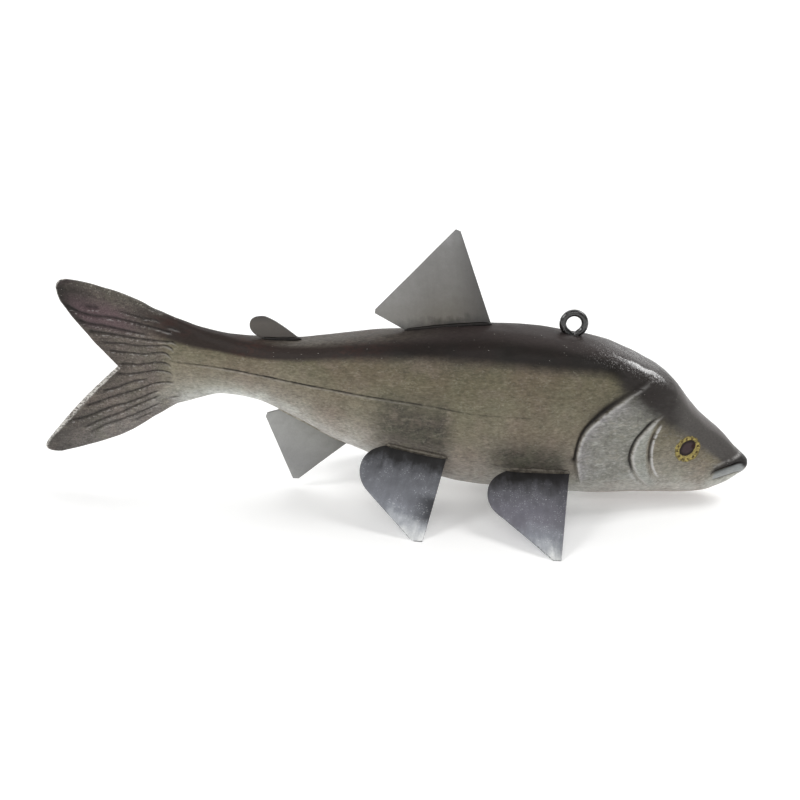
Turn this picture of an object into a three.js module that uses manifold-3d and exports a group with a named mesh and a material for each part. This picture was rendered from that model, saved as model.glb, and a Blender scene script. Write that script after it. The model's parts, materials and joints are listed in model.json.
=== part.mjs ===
// Fish decoy: a carved wooden body with sheet-metal fins and a screw eye for the line.
// Millimetres, +Z up. The snout points along +X and the middle plane is y = 0. The tips of the
// four paired fins stand on the ground at z = 0.
// The body is a carved form, so its profile, sections and carving are shares of its own length,
// depth and thickness. The fins, kerfs, wire and clearances have real sizes.

import * as THREE from 'three';
import { mergeVertices } from 'three/addons/utils/BufferGeometryUtils.js';
import Module from 'manifold-3d';

const wasm = await Module();
wasm.setup();

// Body
const LENGTH = 254;           // snout to the tips of the tail
const DEPTH = 62;             // lowest belly line to the top of the back
const THICKNESS = 36;         // across the widest place
const BELLY_HEIGHT = 2.2;     // lowest belly line above the ground
const TAIL_THICKNESS = 3.4;   // of the carved tail at its trailing edge
const NOSE_ROUND = 3.2;       // length of the rounded end of the snout

// Carving
const GILL_LIP = 0.9;         // how far the gill cover's rear edge stands up
const GILL_LIP_RUN = 9;       // length over which it falls away forward
const GILL_LIP_EDGE = [-0.3, 0.6];  // where the lip rises, measured forward from its line
const GILL_GROOVE = 0.65;     // depth of the cut behind it
const CHEEK_RISE = 0.7;       // height of the crescent on the cheek
const CHEEK_SLOPES = [2, 1.2];  // length over which it rises, from its front and from its back
const CHEEK_GROOVE = 0.5;     // depth of the cuts on both sides of it
const CUT_WIDTH = 0.6;        // half width of those cuts
const MOUTH_CUT = 0.6;        // depth of the mouth
const MOUTH_WIDTH = 0.6;      // half width of that cut
const MOUTH_FRONT = 0.3;      // share of that depth left at the tip of the snout
const LIP_RISE = 0.5;         // height of the two lips
const LIP_WIDTH = 1.6;        // half width of a lip
const LIP_OFFSET = 1.9;       // from the mouth to the middle of a lip
const LATERAL_CUT = 0.35;     // depth of the lateral line
const LATERAL_WIDTH = 0.5;    // half width of the lateral line
const TAIL_RAYS = 7;          // grooves in each lobe of the tail
const RAY_CUT = 0.5;          // depth of a groove in the tail
const RAY_CURL = 2;           // how far each groove curls down where it starts

// Sheet-metal fins
const SHEET = 0.8;            // thickness of the sheet
const KERF_CLEARANCE = 0.3;   // between a fin and the wood, on every side
const DORSAL = {
  place: 0.4338, base: 30.1, height: 34.8, topBack: 8.8, tipBack: 10.5, tipHeight: 7.7, blunt: 1.6, tab: 6,
};
const ADIPOSE = { place: 0.6628, base: 13.2, height: 8.3, lean: 6.5, tipBack: 4.6, tipHeight: 4.9, tab: 4 };
const ANAL = {
  place: 0.6166, base: 26.9, height: 22.7, topBack: 9.2, tipBack: 4.5, tipHeight: 4.9, blunt: 1.9, tab: 5,
};
const PECTORAL = {
  place: 0.3037, rise: 0.2073, tilt: -0.8, root: 21.7, spread: 52.5, tipBack: 4.9, tip: 2.6,
  lobe: 7.3, lobeOut: 11.6, shoulder: 2.2, shoulderOut: 21.5, tab: 5,
};
const PELVIC = {
  place: 0.473, rise: 0.3056, tilt: -8.4, root: 21.3, spread: 39.8, tipBack: 1.6, tip: 2.8,
  lobe: 7.4, lobeOut: 9.6, shoulder: 3.0, shoulderOut: 18.4, tab: 5,
};

// Screw eye
const WIRE = 2.5;             // diameter of the wire
const RING = 10.2;            // across the outside of the ring
const RING_PLACE = 0.2615;    // share of the body's length from the snout
const RING_RISE = 4;          // centre of the ring above the back
const RING_POINT = 1.3;       // the ring's lower point, as a share of its radius
const SHANK = 14;             // from the ring's lower point to the end of the screw
const SHANK_TIP = 3;          // length of the screw's pointed end

// Outlines and sections as shares: [from the snout, up from the belly line]
const BACK = [
  [0, 0.224], [0.012, 0.242], [0.03, 0.331], [0.045, 0.393], [0.06, 0.438], [0.076, 0.495], [0.092, 0.568],
  [0.106, 0.639], [0.12, 0.703], [0.137, 0.765], [0.16, 0.812], [0.18, 0.852], [0.21, 0.905], [0.24, 0.934],
  [0.3, 0.977], [0.38, 1], [0.43, 0.984], [0.48, 0.96], [0.55, 0.93], [0.6, 0.899], [0.66, 0.881],
  [0.72, 0.896], [0.77, 0.937], [0.81, 0.993],
];
const BELLY = [
  [0, 0.146], [0.012, 0.131], [0.03, 0.071], [0.06, 0.022], [0.1, 0.012], [0.16, 0.013], [0.24, 0.011],
  [0.34, 0.035], [0.42, 0.065], [0.5, 0.155], [0.58, 0.276], [0.65, 0.431], [0.7, 0.521], [0.75, 0.547],
  [0.78, 0.52], [0.81, 0.482],
];
const SNOUT_RISE = 0.197;
// Half width as a share of half the thickness, and the height of the widest place between belly and back
const SIDE = [
  [0, 0.22], [0.02, 0.31], [0.05, 0.44], [0.1, 0.64], [0.16, 0.82], [0.23, 0.955], [0.32, 1], [0.42, 0.98],
  [0.52, 0.845], [0.62, 0.62], [0.7, 0.42], [0.76, 0.28], [0.81, 0.18],
];
const WIDEST = [
  [0, 0.55], [0.04, 0.5], [0.1, 0.44], [0.2, 0.42], [0.35, 0.42], [0.55, 0.48], [0.7, 0.5], [0.81, 0.5],
];
// Fullness of the section above and below that place: 1 is an ellipse, less is boxier
const FULL_ABOVE = [
  [0, 0.8], [0.06, 0.68], [0.13, 0.62], [0.2, 0.6], [0.26, 0.64], [0.33, 0.82], [0.4, 0.98], [0.46, 0.9],
  [0.53, 0.7], [0.6, 0.6], [0.67, 0.62], [0.74, 0.75], [0.81, 0.7],
];
const FULL_BELOW = [
  [0, 0.9], [0.06, 0.8], [0.15, 0.7], [0.25, 0.72], [0.42, 0.8], [0.55, 1], [0.7, 0.95], [0.81, 0.7],
];

// Carved lines as shares. The gill lines give the place for a height, [up, from the snout].
const GILL_EDGE = [
  [0, 0.242], [0.08, 0.243], [0.15, 0.246], [0.2, 0.249], [0.32, 0.254], [0.46, 0.246], [0.57, 0.222],
  [0.66, 0.19], [0.756, 0.15], [0.8, 0.134],
];
const CHEEK_BACK = [
  [0, 0.141], [0.108, 0.151], [0.166, 0.163], [0.226, 0.172], [0.32, 0.178], [0.408, 0.172],
  [0.458, 0.163], [0.519, 0.149], [0.556, 0.139], [0.62, 0.122], [0.7, 0.1],
];
const CHEEK_FRONT = [
  [0, 0.122], [0.129, 0.1355], [0.205, 0.147], [0.271, 0.1526], [0.345, 0.154], [0.403, 0.1525],
  [0.471, 0.147], [0.532, 0.139], [0.6, 0.127], [0.68, 0.112],
];
// These give the height for a place, [from the snout, up]
const MOUTH_END = 0.0585;
const MOUTH_FADE = [0.006, 0.002];  // it fades out from before that place to behind it
const LIP_START = 0.012;      // the lips rise to their full height from the snout to here
const MOUTH = [
  [0, SNOUT_RISE], [0.017, 0.218], [0.0303, 0.208], [0.0441, 0.192], [0.0539, 0.177], [MOUTH_END, 0.155],
];
const LATERAL = [
  [0.3, 0.545], [0.394, 0.563], [0.462, 0.603], [0.567, 0.647], [0.659, 0.692], [0.74, 0.732], [0.808, 0.75],
];
const LATERAL_FADE = [0.32, 0.4];
// Where each carved line stops: heights between which it fades in and out
const GILL_SPAN = [0.1, 0.2, 0.6, 0.77];
const CHEEK_SPAN = [0.08, 0.14, 0.5, 0.56];

// Tail: its base, the bottom of its fork and the three points that round each lobe's tip
const TAIL_BASE = 0.81;
const FORK = [0.8906, 0.7];
const UPPER_TIP = [[0.9646, 1.085], [0.977, 1.203], [0.956, 1.21]];
const LOWER_TIP = [[0.9906, 0.262], [1.0152, 0.152], [0.9752, 0.168]];
const UPPER_BOW = 0.0365;     // how far the upper edge bows up, and the lower edge down
const LOWER_BOW = 0.052;
const UPPER_SKEW = 1.15;      // moves the fullest place of the upper bow back, from the middle
const LOWER_POWER = 1.2;      // how gently the lower bow starts at the tail's base
const UPPER_SWELL = 0.7;      // how far each lobe's trailing edge bows out, in millimetres
const LOWER_SWELL = 1.1;
const TAIL_FULL = 0.25;       // fullness of the tail's section at its trailing edge
const RAY_ZONE = 0.84;        // share of a lobe's height that its rays cover
const RAY_SWEEP = 0.3;        // how much farther back the outer rays start
const RAY_LEAD = 0.1;         // share of the tail over which a ray's cut deepens
const RAY_CURL_RUN = 0.012;   // share of the length over which the curl dies out
const TIP_SHARE = 0.8;        // share of a lobe's trailing edge before its rounded tip

// Grid of the body: rings from snout to tail, each of rows from belly to back
const RAY_ROWS = [0.2, 0.5, 0.8];
const TIP_STEPS = [0.38, 0.7, 1];
const HALF_ROWS = RAY_ROWS.length * TAIL_RAYS + TIP_STEPS.length;
const ROWS = 2 * HALF_ROWS;
const MIDDLE_ROW_GAP = 0.8;   // from the middle row to the next, in the body
const NOSE_RINGS = 4;
const HEAD_STEPS = [0.14, 0.28, 0.42, 0.56, 0.73, 0.9, 1];
const CHEEK_STEPS = [0.12, 0.4, 0.85, 1];
const COVER_STEPS = [0.08, 0.4, 0.8, 0.955, 1];
const SHOULDER_STEPS = [0.05, 0.14, 0.5, 1];
const SHOULDER_PLACE = 0.32;
const TRUNK_STEPS = [0.11, 0.22, 0.33, 0.44, 0.54, 0.63, 0.71, 0.78, 0.84, 0.9, 0.95, 1];
const TAIL_STEPS = [0.04, 0.1, 0.2, 0.36, 0.56, 0.78, 1];
const ROW_BLEND = 0.62;       // from here back the body's rows turn into the tail's rows
const LINE_RANGE = [0.05, 0.5];  // shares of the length between which a row meets a carved line
const LINE_TRIES = 40;
const CURVE_STEPS = 6;        // parts of each curve of a fin's outline
const RING_STEPS = 24;
const WIRE_SIDES = 8;
const SHANK_SIDES = 12;
const WELD = 1e-4;            // points closer than this are one point

// Small helpers

// A smooth curve through [place, value] knots, straight beyond its ends
function curve(knots) {
  const last = knots.length - 1;
  const slope = knots.map((knot, i) => {
    const before = knots[Math.max(i - 1, 0)];
    const after = knots[Math.min(i + 1, last)];
    return (after[1] - before[1]) / (after[0] - before[0]);
  });
  return (x) => {
    if (x <= knots[0][0]) return knots[0][1] + slope[0] * (x - knots[0][0]);
    if (x >= knots[last][0]) return knots[last][1] + slope[last] * (x - knots[last][0]);
    const i = knots.findIndex((knot) => knot[0] > x) - 1;
    const [x0, y0] = knots[i];
    const [x1, y1] = knots[i + 1];
    const run = x1 - x0;
    const t = (x - x0) / run;
    const s = 1 - t;
    return (1 + 2 * t) * s * s * y0 + t * s * s * run * slope[i]
      + t * t * (3 - 2 * t) * y1 - t * t * s * run * slope[i + 1];
  };
}

const smooth = (from, to, x) => THREE.MathUtils.smoothstep(x, Math.min(from, to), Math.max(from, to));
const mix = THREE.MathUtils.lerp;
const bell = (x, width) => Math.exp(-((x / width) ** 2));
const along = (share) => LENGTH / 2 - share * LENGTH;
const shareOf = (x) => (LENGTH / 2 - x) / LENGTH;
const up = (share) => BELLY_HEIGHT + share * DEPTH;
const riseOf = (z) => (z - BELLY_HEIGHT) / DEPTH;
const planePoint = ([share, rise]) => [along(share), up(rise)];

const back = curve(BACK);
const belly = curve(BELLY);
const side = curve(SIDE);
const widest = curve(WIDEST);
const fullAbove = curve(FULL_ABOVE);
const fullBelow = curve(FULL_BELOW);
const gillEdge = curve(GILL_EDGE);
const cheekBack = curve(CHEEK_BACK);
const cheekFront = curve(CHEEK_FRONT);
const mouth = curve(MOUTH);
const lateral = curve(LATERAL);

// A closed mesh from points and triangles, with its faces turned outward
function closedGeometry(points, triangles) {
  const used = triangles.filter(([a, b, c]) => a !== b && b !== c && c !== a);
  let volume = 0;
  for (const [a, b, c] of used) volume += points[a].dot(points[b].clone().cross(points[c]));
  const index = used.flatMap(([a, b, c]) => (volume > 0 ? [a, b, c] : [a, c, b]));
  const geometry = new THREE.BufferGeometry();
  const positions = points.flatMap((p) => [p.x, p.y, p.z]);
  geometry.setAttribute('position', new THREE.Float32BufferAttribute(positions, 3));
  geometry.setIndex(index);
  return geometry;
}

function toSolid(geometry) {
  const bare = geometry.clone();
  bare.deleteAttribute('normal');
  bare.deleteAttribute('uv');
  const merged = mergeVertices(bare, WELD);
  const vertProperties = new Float32Array(merged.attributes.position.array);
  const triVerts = new Uint32Array(merged.index.array);
  return new wasm.Manifold(new wasm.Mesh({ numProp: 3, vertProperties, triVerts }));
}

function toGeometry(solid) {
  const mesh = solid.getMesh();
  const geometry = new THREE.BufferGeometry();
  geometry.setAttribute('position', new THREE.Float32BufferAttribute(mesh.vertProperties, 3));
  geometry.setIndex(Array.from(mesh.triVerts));
  return geometry;
}

// Body surface

// The section of the body at a share of its length: belly, back, widest height and half width
function section(share) {
  const t = THREE.MathUtils.clamp((share * LENGTH) / NOSE_ROUND, 0, 1);
  const round = Math.sqrt(Math.max(1 - (1 - t) ** 2, 0));
  const snout = up(SNOUT_RISE);
  const high = mix(snout, up(back(share)), round);
  const low = mix(snout, up(belly(share)), round);
  const half = (side(share) * round * THICKNESS) / 2;
  return { low, high, middle: mix(low, high, widest(share)), half };
}

// A point of the smooth body: height runs from -1 on the belly line, through 0, to 1 on the back line
function bodyPoint(share, height) {
  const { low, high, middle, half } = section(share);
  const reach = height > 0 ? high - middle : middle - low;
  const fullness = height > 0 ? fullAbove(share) : fullBelow(share);
  const y = half * Math.max(1 - height * height, 0) ** (fullness / 2);
  return new THREE.Vector3(along(share), y, middle + height * reach);
}

// Where a point of the side view lies between belly and back, as that same height
function heightAt(share, z) {
  const { low, high, middle } = section(share);
  const height = z > middle ? (z - middle) / (high - middle) : (z - middle) / (middle - low);
  return THREE.MathUtils.clamp(height, -1, 1);
}

function surfaceAt(x, z) {
  return bodyPoint(shareOf(x), heightAt(shareOf(x), z));
}

// Distance in front of an upright carved line, and whether a height lies within the line's span
function aheadOf(line, x, z) {
  const rise = riseOf(z);
  const step = 0.01;
  const lean = ((line(rise + step) - line(rise - step)) * LENGTH) / (2 * step * DEPTH);
  return (x - along(line(rise))) / Math.hypot(1, lean);
}

const within = ([a, b, c, d], rise) => smooth(a, b, rise) * (1 - smooth(c, d, rise));

// How far the carving stands out from the smooth body, or cuts into it
function relief(x, z) {
  const share = shareOf(x);
  const rise = riseOf(z);
  let out = 0;

  const gill = aheadOf(gillEdge, x, z);
  const lip = GILL_LIP * smooth(...GILL_LIP_EDGE, gill) * Math.exp(-Math.max(gill, 0) / GILL_LIP_RUN);
  out += within(GILL_SPAN, rise) * (lip - GILL_GROOVE * bell(gill + CUT_WIDTH, CUT_WIDTH));

  const behind = -aheadOf(cheekFront, x, z);
  const before = aheadOf(cheekBack, x, z);
  const crescent = CHEEK_RISE * smooth(0, CHEEK_SLOPES[0], behind) * smooth(0, CHEEK_SLOPES[1], before);
  const cuts = CHEEK_GROOVE * (bell(behind + CUT_WIDTH, CUT_WIDTH) + bell(before + CUT_WIDTH, CUT_WIDTH));
  out += within(CHEEK_SPAN, rise) * (crescent - cuts);

  const overMouth = z - up(mouth(share));
  const inMouth = 1 - smooth(MOUTH_END - MOUTH_FADE[0], MOUTH_END + MOUTH_FADE[1], share);
  const lips = bell(overMouth - LIP_OFFSET, LIP_WIDTH) + bell(overMouth + LIP_OFFSET, LIP_WIDTH);
  const cut = MOUTH_CUT * mix(MOUTH_FRONT, 1, smooth(0, MOUTH[1][0], share));
  const lipRise = LIP_RISE * smooth(0, LIP_START, share);
  out += inMouth * (lipRise * lips - cut * bell(overMouth, MOUTH_WIDTH));

  const onLateral = smooth(LATERAL_FADE[0], LATERAL_FADE[1], share);
  return out - onLateral * LATERAL_CUT * bell(z - up(lateral(share)), LATERAL_WIDTH);
}

// The same surface with its carving, moved along the surface's own direction
function carvedPoint(share, height) {
  const point = bodyPoint(share, height);
  if (Math.abs(height) > 0.9999 || share < 1e-6) return point;
  const step = 1e-3;
  const tall = Math.min(step, (1 - Math.abs(height)) / 2);
  const onward = bodyPoint(share + step, height).sub(bodyPoint(Math.max(share - step, 0), height));
  const upward = bodyPoint(share, height + tall).sub(bodyPoint(share, height - tall));
  const normal = upward.cross(onward).normalize();
  if (normal.y < 0) normal.negate();
  const moved = point.clone().addScaledVector(normal, relief(point.x, point.z));
  moved.y = Math.max(moved.y, point.y / 2);
  return moved;
}

// Rows of the grid

// Rows of one half, from the fork or lateral line out to the edge, as shares of the half's height
function rowShares() {
  const shares = [0];
  for (let ray = 0; ray < TAIL_RAYS; ray += 1) {
    for (const part of RAY_ROWS) shares.push((RAY_ZONE * (ray + part)) / TAIL_RAYS);
  }
  for (const part of TIP_STEPS) shares.push(mix(TIP_SHARE, 1, part));
  return shares;
}

const ROW_SHARES = rowShares();
const isRay = (row) => {
  const step = Math.abs(row - HALF_ROWS);
  return step <= RAY_ROWS.length * TAIL_RAYS && step % RAY_ROWS.length === 2;
};

// Tail height of a row, -1 to 1 with 0 at the fork
function tailHeight(row) {
  const step = row - HALF_ROWS;
  return Math.sign(step) * ROW_SHARES[Math.abs(step)];
}

// Body height of the middle row: on the mouth in the snout, and on the lateral line behind the head
function middleHeight(share) {
  const onMouth = THREE.MathUtils.clamp(share, MOUTH[1][0] / 10, MOUTH_END);
  const onLine = THREE.MathUtils.clamp(share, LATERAL[0][0], TAIL_BASE);
  const mouthHeight = heightAt(onMouth, up(mouth(onMouth)));
  const lineHeight = heightAt(onLine, up(lateral(onLine)));
  return mix(mouthHeight, lineHeight, smooth(MOUTH_END, LATERAL[0][0], share));
}

// Body height of a row: even angles round the section, with the next rows close to the middle one
function bodyHeight(share, row) {
  const line = middleHeight(share);
  const step = row - HALF_ROWS;
  const { low, high } = section(Math.max(share, MOUTH[1][0]));
  const near = (2 * MIDDLE_ROW_GAP) / (high - low);
  const middle = Math.asin(line);
  const outer = (Math.PI / 2) * Math.sign(step);
  if (step === 0) return line;
  const start = middle + Math.sign(step) * near;
  const part = (Math.abs(step) - 1) / (HALF_ROWS - 1);
  const even = Math.sin(mix(start, outer, part));
  const curl = ((2 * RAY_CURL) / DEPTH) * bell(share - TAIL_BASE, RAY_CURL_RUN) * (1 - even ** 4);
  return mix(even, tailHeight(row), smooth(ROW_BLEND, TAIL_BASE, share)) - curl;
}

// Share of the body's length where a row meets an upright carved line
function shareOnLine(line, row) {
  let [front, rear] = LINE_RANGE;
  for (let i = 0; i < LINE_TRIES; i += 1) {
    const share = (front + rear) / 2;
    const point = bodyPoint(share, bodyHeight(share, row));
    if (along(line(riseOf(point.z))) < point.x) front = share;
    else rear = share;
  }
  return (front + rear) / 2;
}

// Tail surface

// The trailing edge at a tail height: a slight bow from the fork out, then a bend round the tip
function trailingEdge(height) {
  const [start, corner, end] = (height > 0 ? UPPER_TIP : LOWER_TIP).map(planePoint);
  const fork = planePoint(FORK);
  const reach = Math.abs(height);
  if (reach <= TIP_SHARE) {
    const t = reach / TIP_SHARE;
    const swell = (height > 0 ? UPPER_SWELL : LOWER_SWELL) * Math.sin(Math.PI * t);
    return [mix(fork[0], start[0], t) - swell, mix(fork[1], start[1], t)];
  }
  const t = (reach - TIP_SHARE) / (1 - TIP_SHARE);
  return [0, 1].map((i) => mix(mix(start[i], corner[i], t), mix(corner[i], end[i], t), t));
}

// How far the tail's upper and lower edge bow out, along a line of one height
function edgeBow(reach, height) {
  if (height > 0) return UPPER_BOW * DEPTH * Math.sin(Math.PI * reach ** UPPER_SKEW);
  return -LOWER_BOW * DEPTH * Math.sin(Math.PI * reach) ** LOWER_POWER;
}

// A point of the tail: reach runs from 0 at its base to 1 at its trailing edge
function tailPoint(reach, row) {
  const height = tailHeight(row);
  const base = bodyPoint(TAIL_BASE, bodyHeight(TAIL_BASE, row));
  const [endX, endZ] = trailingEdge(height);
  const x = mix(base.x, endX, reach);
  const z = mix(base.z, endZ, reach) + edgeBow(reach, height) * height * height;
  const half = mix(section(TAIL_BASE).half, TAIL_THICKNESS / 2, Math.sqrt(reach));
  const fullness = mix(fullAbove(TAIL_BASE), TAIL_FULL, Math.sqrt(reach));
  const start = RAY_SWEEP * height * height;
  const cut = isRay(row) ? RAY_CUT * smooth(start, start + RAY_LEAD, reach) : 0;
  const y = half * Math.max(1 - height * height, 0) ** (fullness / 2) - cut;
  return new THREE.Vector3(x, Math.abs(row - HALF_ROWS) === HALF_ROWS ? 0 : y, z);
}

// Rings of the grid from the snout to the trailing edge, each a function of the row
function bodyRings() {
  const nose = NOSE_ROUND / LENGTH;
  const noseTurn = Math.PI / (2 * NOSE_RINGS);
  const shares = [];
  for (let row = 0; row <= ROWS; row += 1) {
    const front = shareOnLine(cheekFront, row);
    const cheek = shareOnLine(cheekBack, row);
    const gill = shareOnLine(gillEdge, row);
    const list = [];
    for (let i = 0; i <= NOSE_RINGS; i += 1) list.push(nose * (1 - Math.cos(noseTurn * i)));
    for (const t of HEAD_STEPS) list.push(mix(nose, front, t));
    for (const t of CHEEK_STEPS) list.push(mix(front, cheek, t));
    for (const t of COVER_STEPS) list.push(mix(cheek, gill, t));
    for (const t of SHOULDER_STEPS) list.push(mix(gill, SHOULDER_PLACE, t));
    for (const t of TRUNK_STEPS) list.push(mix(SHOULDER_PLACE, TAIL_BASE, t));
    shares.push(list);
  }
  const carved = (share, row) => carvedPoint(share, bodyHeight(share, row));
  const bodyPart = shares[0].map((_, i) => (row) => carved(shares[row][i], row));
  return bodyPart.concat(TAIL_STEPS.map((reach) => (row) => tailPoint(reach, row)));
}

// The closed body: both sides share the belly and back rows, and a strip closes the trailing edge
function bodyGeometry() {
  const points = [];
  const sides = [-1, 1].map((sign) => bodyRings().map((ring) => {
    const column = [];
    for (let row = 0; row <= ROWS; row += 1) {
      const point = ring(row);
      point.y *= sign;
      column.push(points.push(point) - 1);
    }
    return column;
  }));
  const triangles = [];
  const quad = (a, b, c, d) => triangles.push([a, b, c], [a, c, d]);
  const [near, far] = sides;
  for (let i = 1; i < near.length; i += 1) {
    for (let row = 1; row <= ROWS; row += 1) {
      quad(near[i - 1][row - 1], near[i][row - 1], near[i][row], near[i - 1][row]);
      quad(far[i - 1][row - 1], far[i - 1][row], far[i][row], far[i][row - 1]);
    }
  }
  const nearEnd = near[near.length - 1];
  const farEnd = far[far.length - 1];
  for (let row = 1; row <= ROWS; row += 1) quad(nearEnd[row - 1], farEnd[row - 1], farEnd[row], nearEnd[row]);
  return weld(points, triangles);
}

// Joins points that coincide, drops flat triangles and closes the mesh
function weld(points, triangles) {
  const seen = new Map();
  const kept = [];
  const place = points.map((p) => {
    const key = [p.x, p.y, p.z].map((value) => Math.round(value / WELD)).join(' ');
    if (!seen.has(key)) seen.set(key, kept.push(p) - 1);
    return seen.get(key);
  });
  return closedGeometry(kept, triangles.map((triangle) => triangle.map((i) => place[i])));
}

// Sheet-metal fins

// Moves every side of an outline outward by a distance
function grow(outline, distance) {
  if (distance === 0) return outline;
  const turn = THREE.ShapeUtils.isClockWise(outline) ? -1 : 1;
  const count = outline.length;
  return outline.map((point, i) => {
    const before = point.clone().sub(outline[(i + count - 1) % count]).normalize();
    const after = outline[(i + 1) % count].clone().sub(point).normalize();
    const normal = new THREE.Vector2(before.y + after.y, -before.x - after.x).normalize();
    const reach = Math.max(normal.dot(new THREE.Vector2(after.y, -after.x)), 0.5);
    return point.clone().addScaledVector(normal, (turn * distance) / reach);
  });
}

// A flat sheet of an outline, centred on its own plane, with some more on every side for its kerf
function sheetGeometry(outline, clearance = 0) {
  const depth = SHEET + 2 * clearance;
  const shape = new THREE.Shape(grow(outline, clearance));
  const geometry = new THREE.ExtrudeGeometry(shape, { depth, bevelEnabled: false });
  geometry.translate(0, 0, -depth / 2);
  return geometry;
}

// A four-sided fin with blunted corners. Along the base x runs forward from the middle of the base.
function bladeOutline({ base, height, topBack, tipBack, tipHeight, blunt, tab }) {
  const half = base / 2;
  const top = new THREE.Vector2(half - topBack, height - blunt / 2);
  const tip = new THREE.Vector2(-half - tipBack, tipHeight);
  const slant = new THREE.Vector2(half - topBack, height).sub(tip).normalize();
  return [
    new THREE.Vector2(half, -tab),
    new THREE.Vector2(half, 0),
    top,
    top.clone().add(new THREE.Vector2(-blunt, blunt / 2)),
    tip.clone().addScaledVector(slant, blunt / 2),
    tip.clone().add(new THREE.Vector2(blunt / 4, -blunt / 2)),
    new THREE.Vector2(-half, 0),
    new THREE.Vector2(-half, -tab),
  ];
}

// A small rounded lobe that leans back over its base
function lobeOutline({ base, height, lean, tipBack, tipHeight, tab }) {
  const half = base / 2;
  const rear = -half - tipBack;
  const path = new THREE.Path();
  path.moveTo(half, -tab);
  path.lineTo(half, 0);
  path.quadraticCurveTo(-0.6 * lean, height, -lean, height);
  path.quadraticCurveTo(rear, height, rear, tipHeight);
  path.quadraticCurveTo(rear, 0.4 * tipHeight, -half, 0);
  path.lineTo(-half, -tab);
  return path.getPoints(CURVE_STEPS);
}

// A paired fin: straight front edge, blunt tip, straight rear edge and a rounded lobe behind the root
function pairedOutline(fin, span) {
  const half = fin.root / 2;
  const tipFront = half - fin.tipBack;
  const lobe = -half - fin.lobe;
  const path = new THREE.Path();
  path.moveTo(half, -fin.tab);
  path.lineTo(half, 0);
  path.lineTo(tipFront, span);
  path.lineTo(tipFront - fin.tip, span);
  path.lineTo(-half - fin.shoulder, fin.shoulderOut);
  path.quadraticCurveTo(lobe, mix(fin.lobeOut, fin.shoulderOut, 0.6), lobe, fin.lobeOut);
  path.quadraticCurveTo(lobe, fin.lobeOut * 0.3, -half, 0);
  path.lineTo(-half, -fin.tab);
  return path.getPoints(CURVE_STEPS);
}

// Where a middle fin stands: the middle of its base on the back or belly, and the base's slope
function middleFrame(fin, edge) {
  const x = along(fin.place);
  const reach = fin.base / 2;
  const front = new THREE.Vector3(x + reach, 0, up(edge(shareOf(x + reach))));
  const rear = new THREE.Vector3(x - reach, 0, up(edge(shareOf(x - reach))));
  const forward = front.clone().sub(rear).normalize();
  const outward = new THREE.Vector3(-forward.z, 0, forward.x).multiplyScalar(edge === back ? 1 : -1);
  return { origin: front.add(rear).multiplyScalar(0.5), forward, outward };
}

// Where a paired fin stands: its root lies on the body, and its tip on the ground at its spread
function pairedFrame(fin, sign) {
  const x = along(fin.place);
  const z = up(fin.rise);
  const slope = THREE.MathUtils.degToRad(fin.tilt);
  const reach = [(Math.cos(slope) * fin.root) / 2, (Math.sin(slope) * fin.root) / 2];
  const front = surfaceAt(x + reach[0], z + reach[1]);
  const rear = surfaceAt(x - reach[0], z - reach[1]);
  for (const end of [front, rear]) end.y *= sign;
  const forward = front.clone().sub(rear).normalize();
  const origin = front.clone().add(rear).multiplyScalar(0.5);
  const foot = new THREE.Vector3(x, sign * fin.spread, 0).sub(origin);
  const outward = foot.addScaledVector(forward, -foot.dot(forward)).normalize();
  return { origin, forward, outward };
}

function frameMatrix({ origin, forward, outward }) {
  const across = forward.clone().cross(outward);
  return new THREE.Matrix4().makeBasis(forward, outward, across).setPosition(origin);
}

// Trims the tip of a standing fin flat on the ground, by sliding its corners along the fin
function trimOnGround(geometry, frame, span) {
  const across = frame.forward.clone().cross(frame.outward);
  const position = geometry.attributes.position;
  for (let i = 0; i < position.count; i += 1) {
    if (position.getY(i) < span - 1e-3) continue;
    const over = frame.origin.z + position.getX(i) * frame.forward.z + position.getZ(i) * across.z;
    position.setY(i, -over / frame.outward.z);
  }
  return geometry;
}

function placed(name, geometry, matrix, material) {
  const mesh = new THREE.Mesh(geometry, material);
  mesh.name = name;
  mesh.applyMatrix4(matrix);
  return mesh;
}

// Paints
const SATIN = { roughness: 0.42, metalness: 0.15 };
const paint = (color, finish) => new THREE.MeshStandardMaterial({ color, ...finish });

// Builds one fin and adds the kerf that it needs to the list of cuts
function fin(name, outline, frame, material, cuts, span = Infinity) {
  const matrix = frameMatrix(frame);
  cuts.push(toSolid(sheetGeometry(outline, KERF_CLEARANCE).applyMatrix4(matrix)));
  return placed(name, trimOnGround(sheetGeometry(outline), frame, span), matrix, material);
}

// Screw eye

// The ring's middle line: a circle drawn out to a point below. Turn is 0 at that point.
function ringPoint(turn) {
  const radius = (RING - WIRE) / 2;
  const contact = Math.acos(1 / RING_POINT);
  const angle = Math.min(turn, 2 * Math.PI - turn);
  const reach = angle < contact ? radius / Math.cos(contact - angle) : radius;
  return new THREE.Vector2(-Math.sin(turn) * reach, -Math.cos(turn) * reach);
}

// The ring as a closed loop of wire round that line, in the middle plane
function ringGeometry(wire) {
  const points = [];
  const triangles = [];
  for (let i = 0; i < RING_STEPS; i += 1) {
    const centre = ringPoint((2 * Math.PI * i) / RING_STEPS);
    const outward = centre.clone().normalize();
    const here = i * WIRE_SIDES;
    const next = ((i + 1) % RING_STEPS) * WIRE_SIDES;
    for (let j = 0; j < WIRE_SIDES; j += 1) {
      const angle = (2 * Math.PI * j) / WIRE_SIDES;
      const flat = outward.clone().multiplyScalar((wire / 2) * Math.cos(angle)).add(centre);
      points.push(new THREE.Vector3(flat.x, (wire / 2) * Math.sin(angle), flat.y));
      const after = (j + 1) % WIRE_SIDES;
      triangles.push([here + j, next + j, next + after], [here + j, next + after, here + after]);
    }
  }
  return closedGeometry(points, triangles);
}

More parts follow.
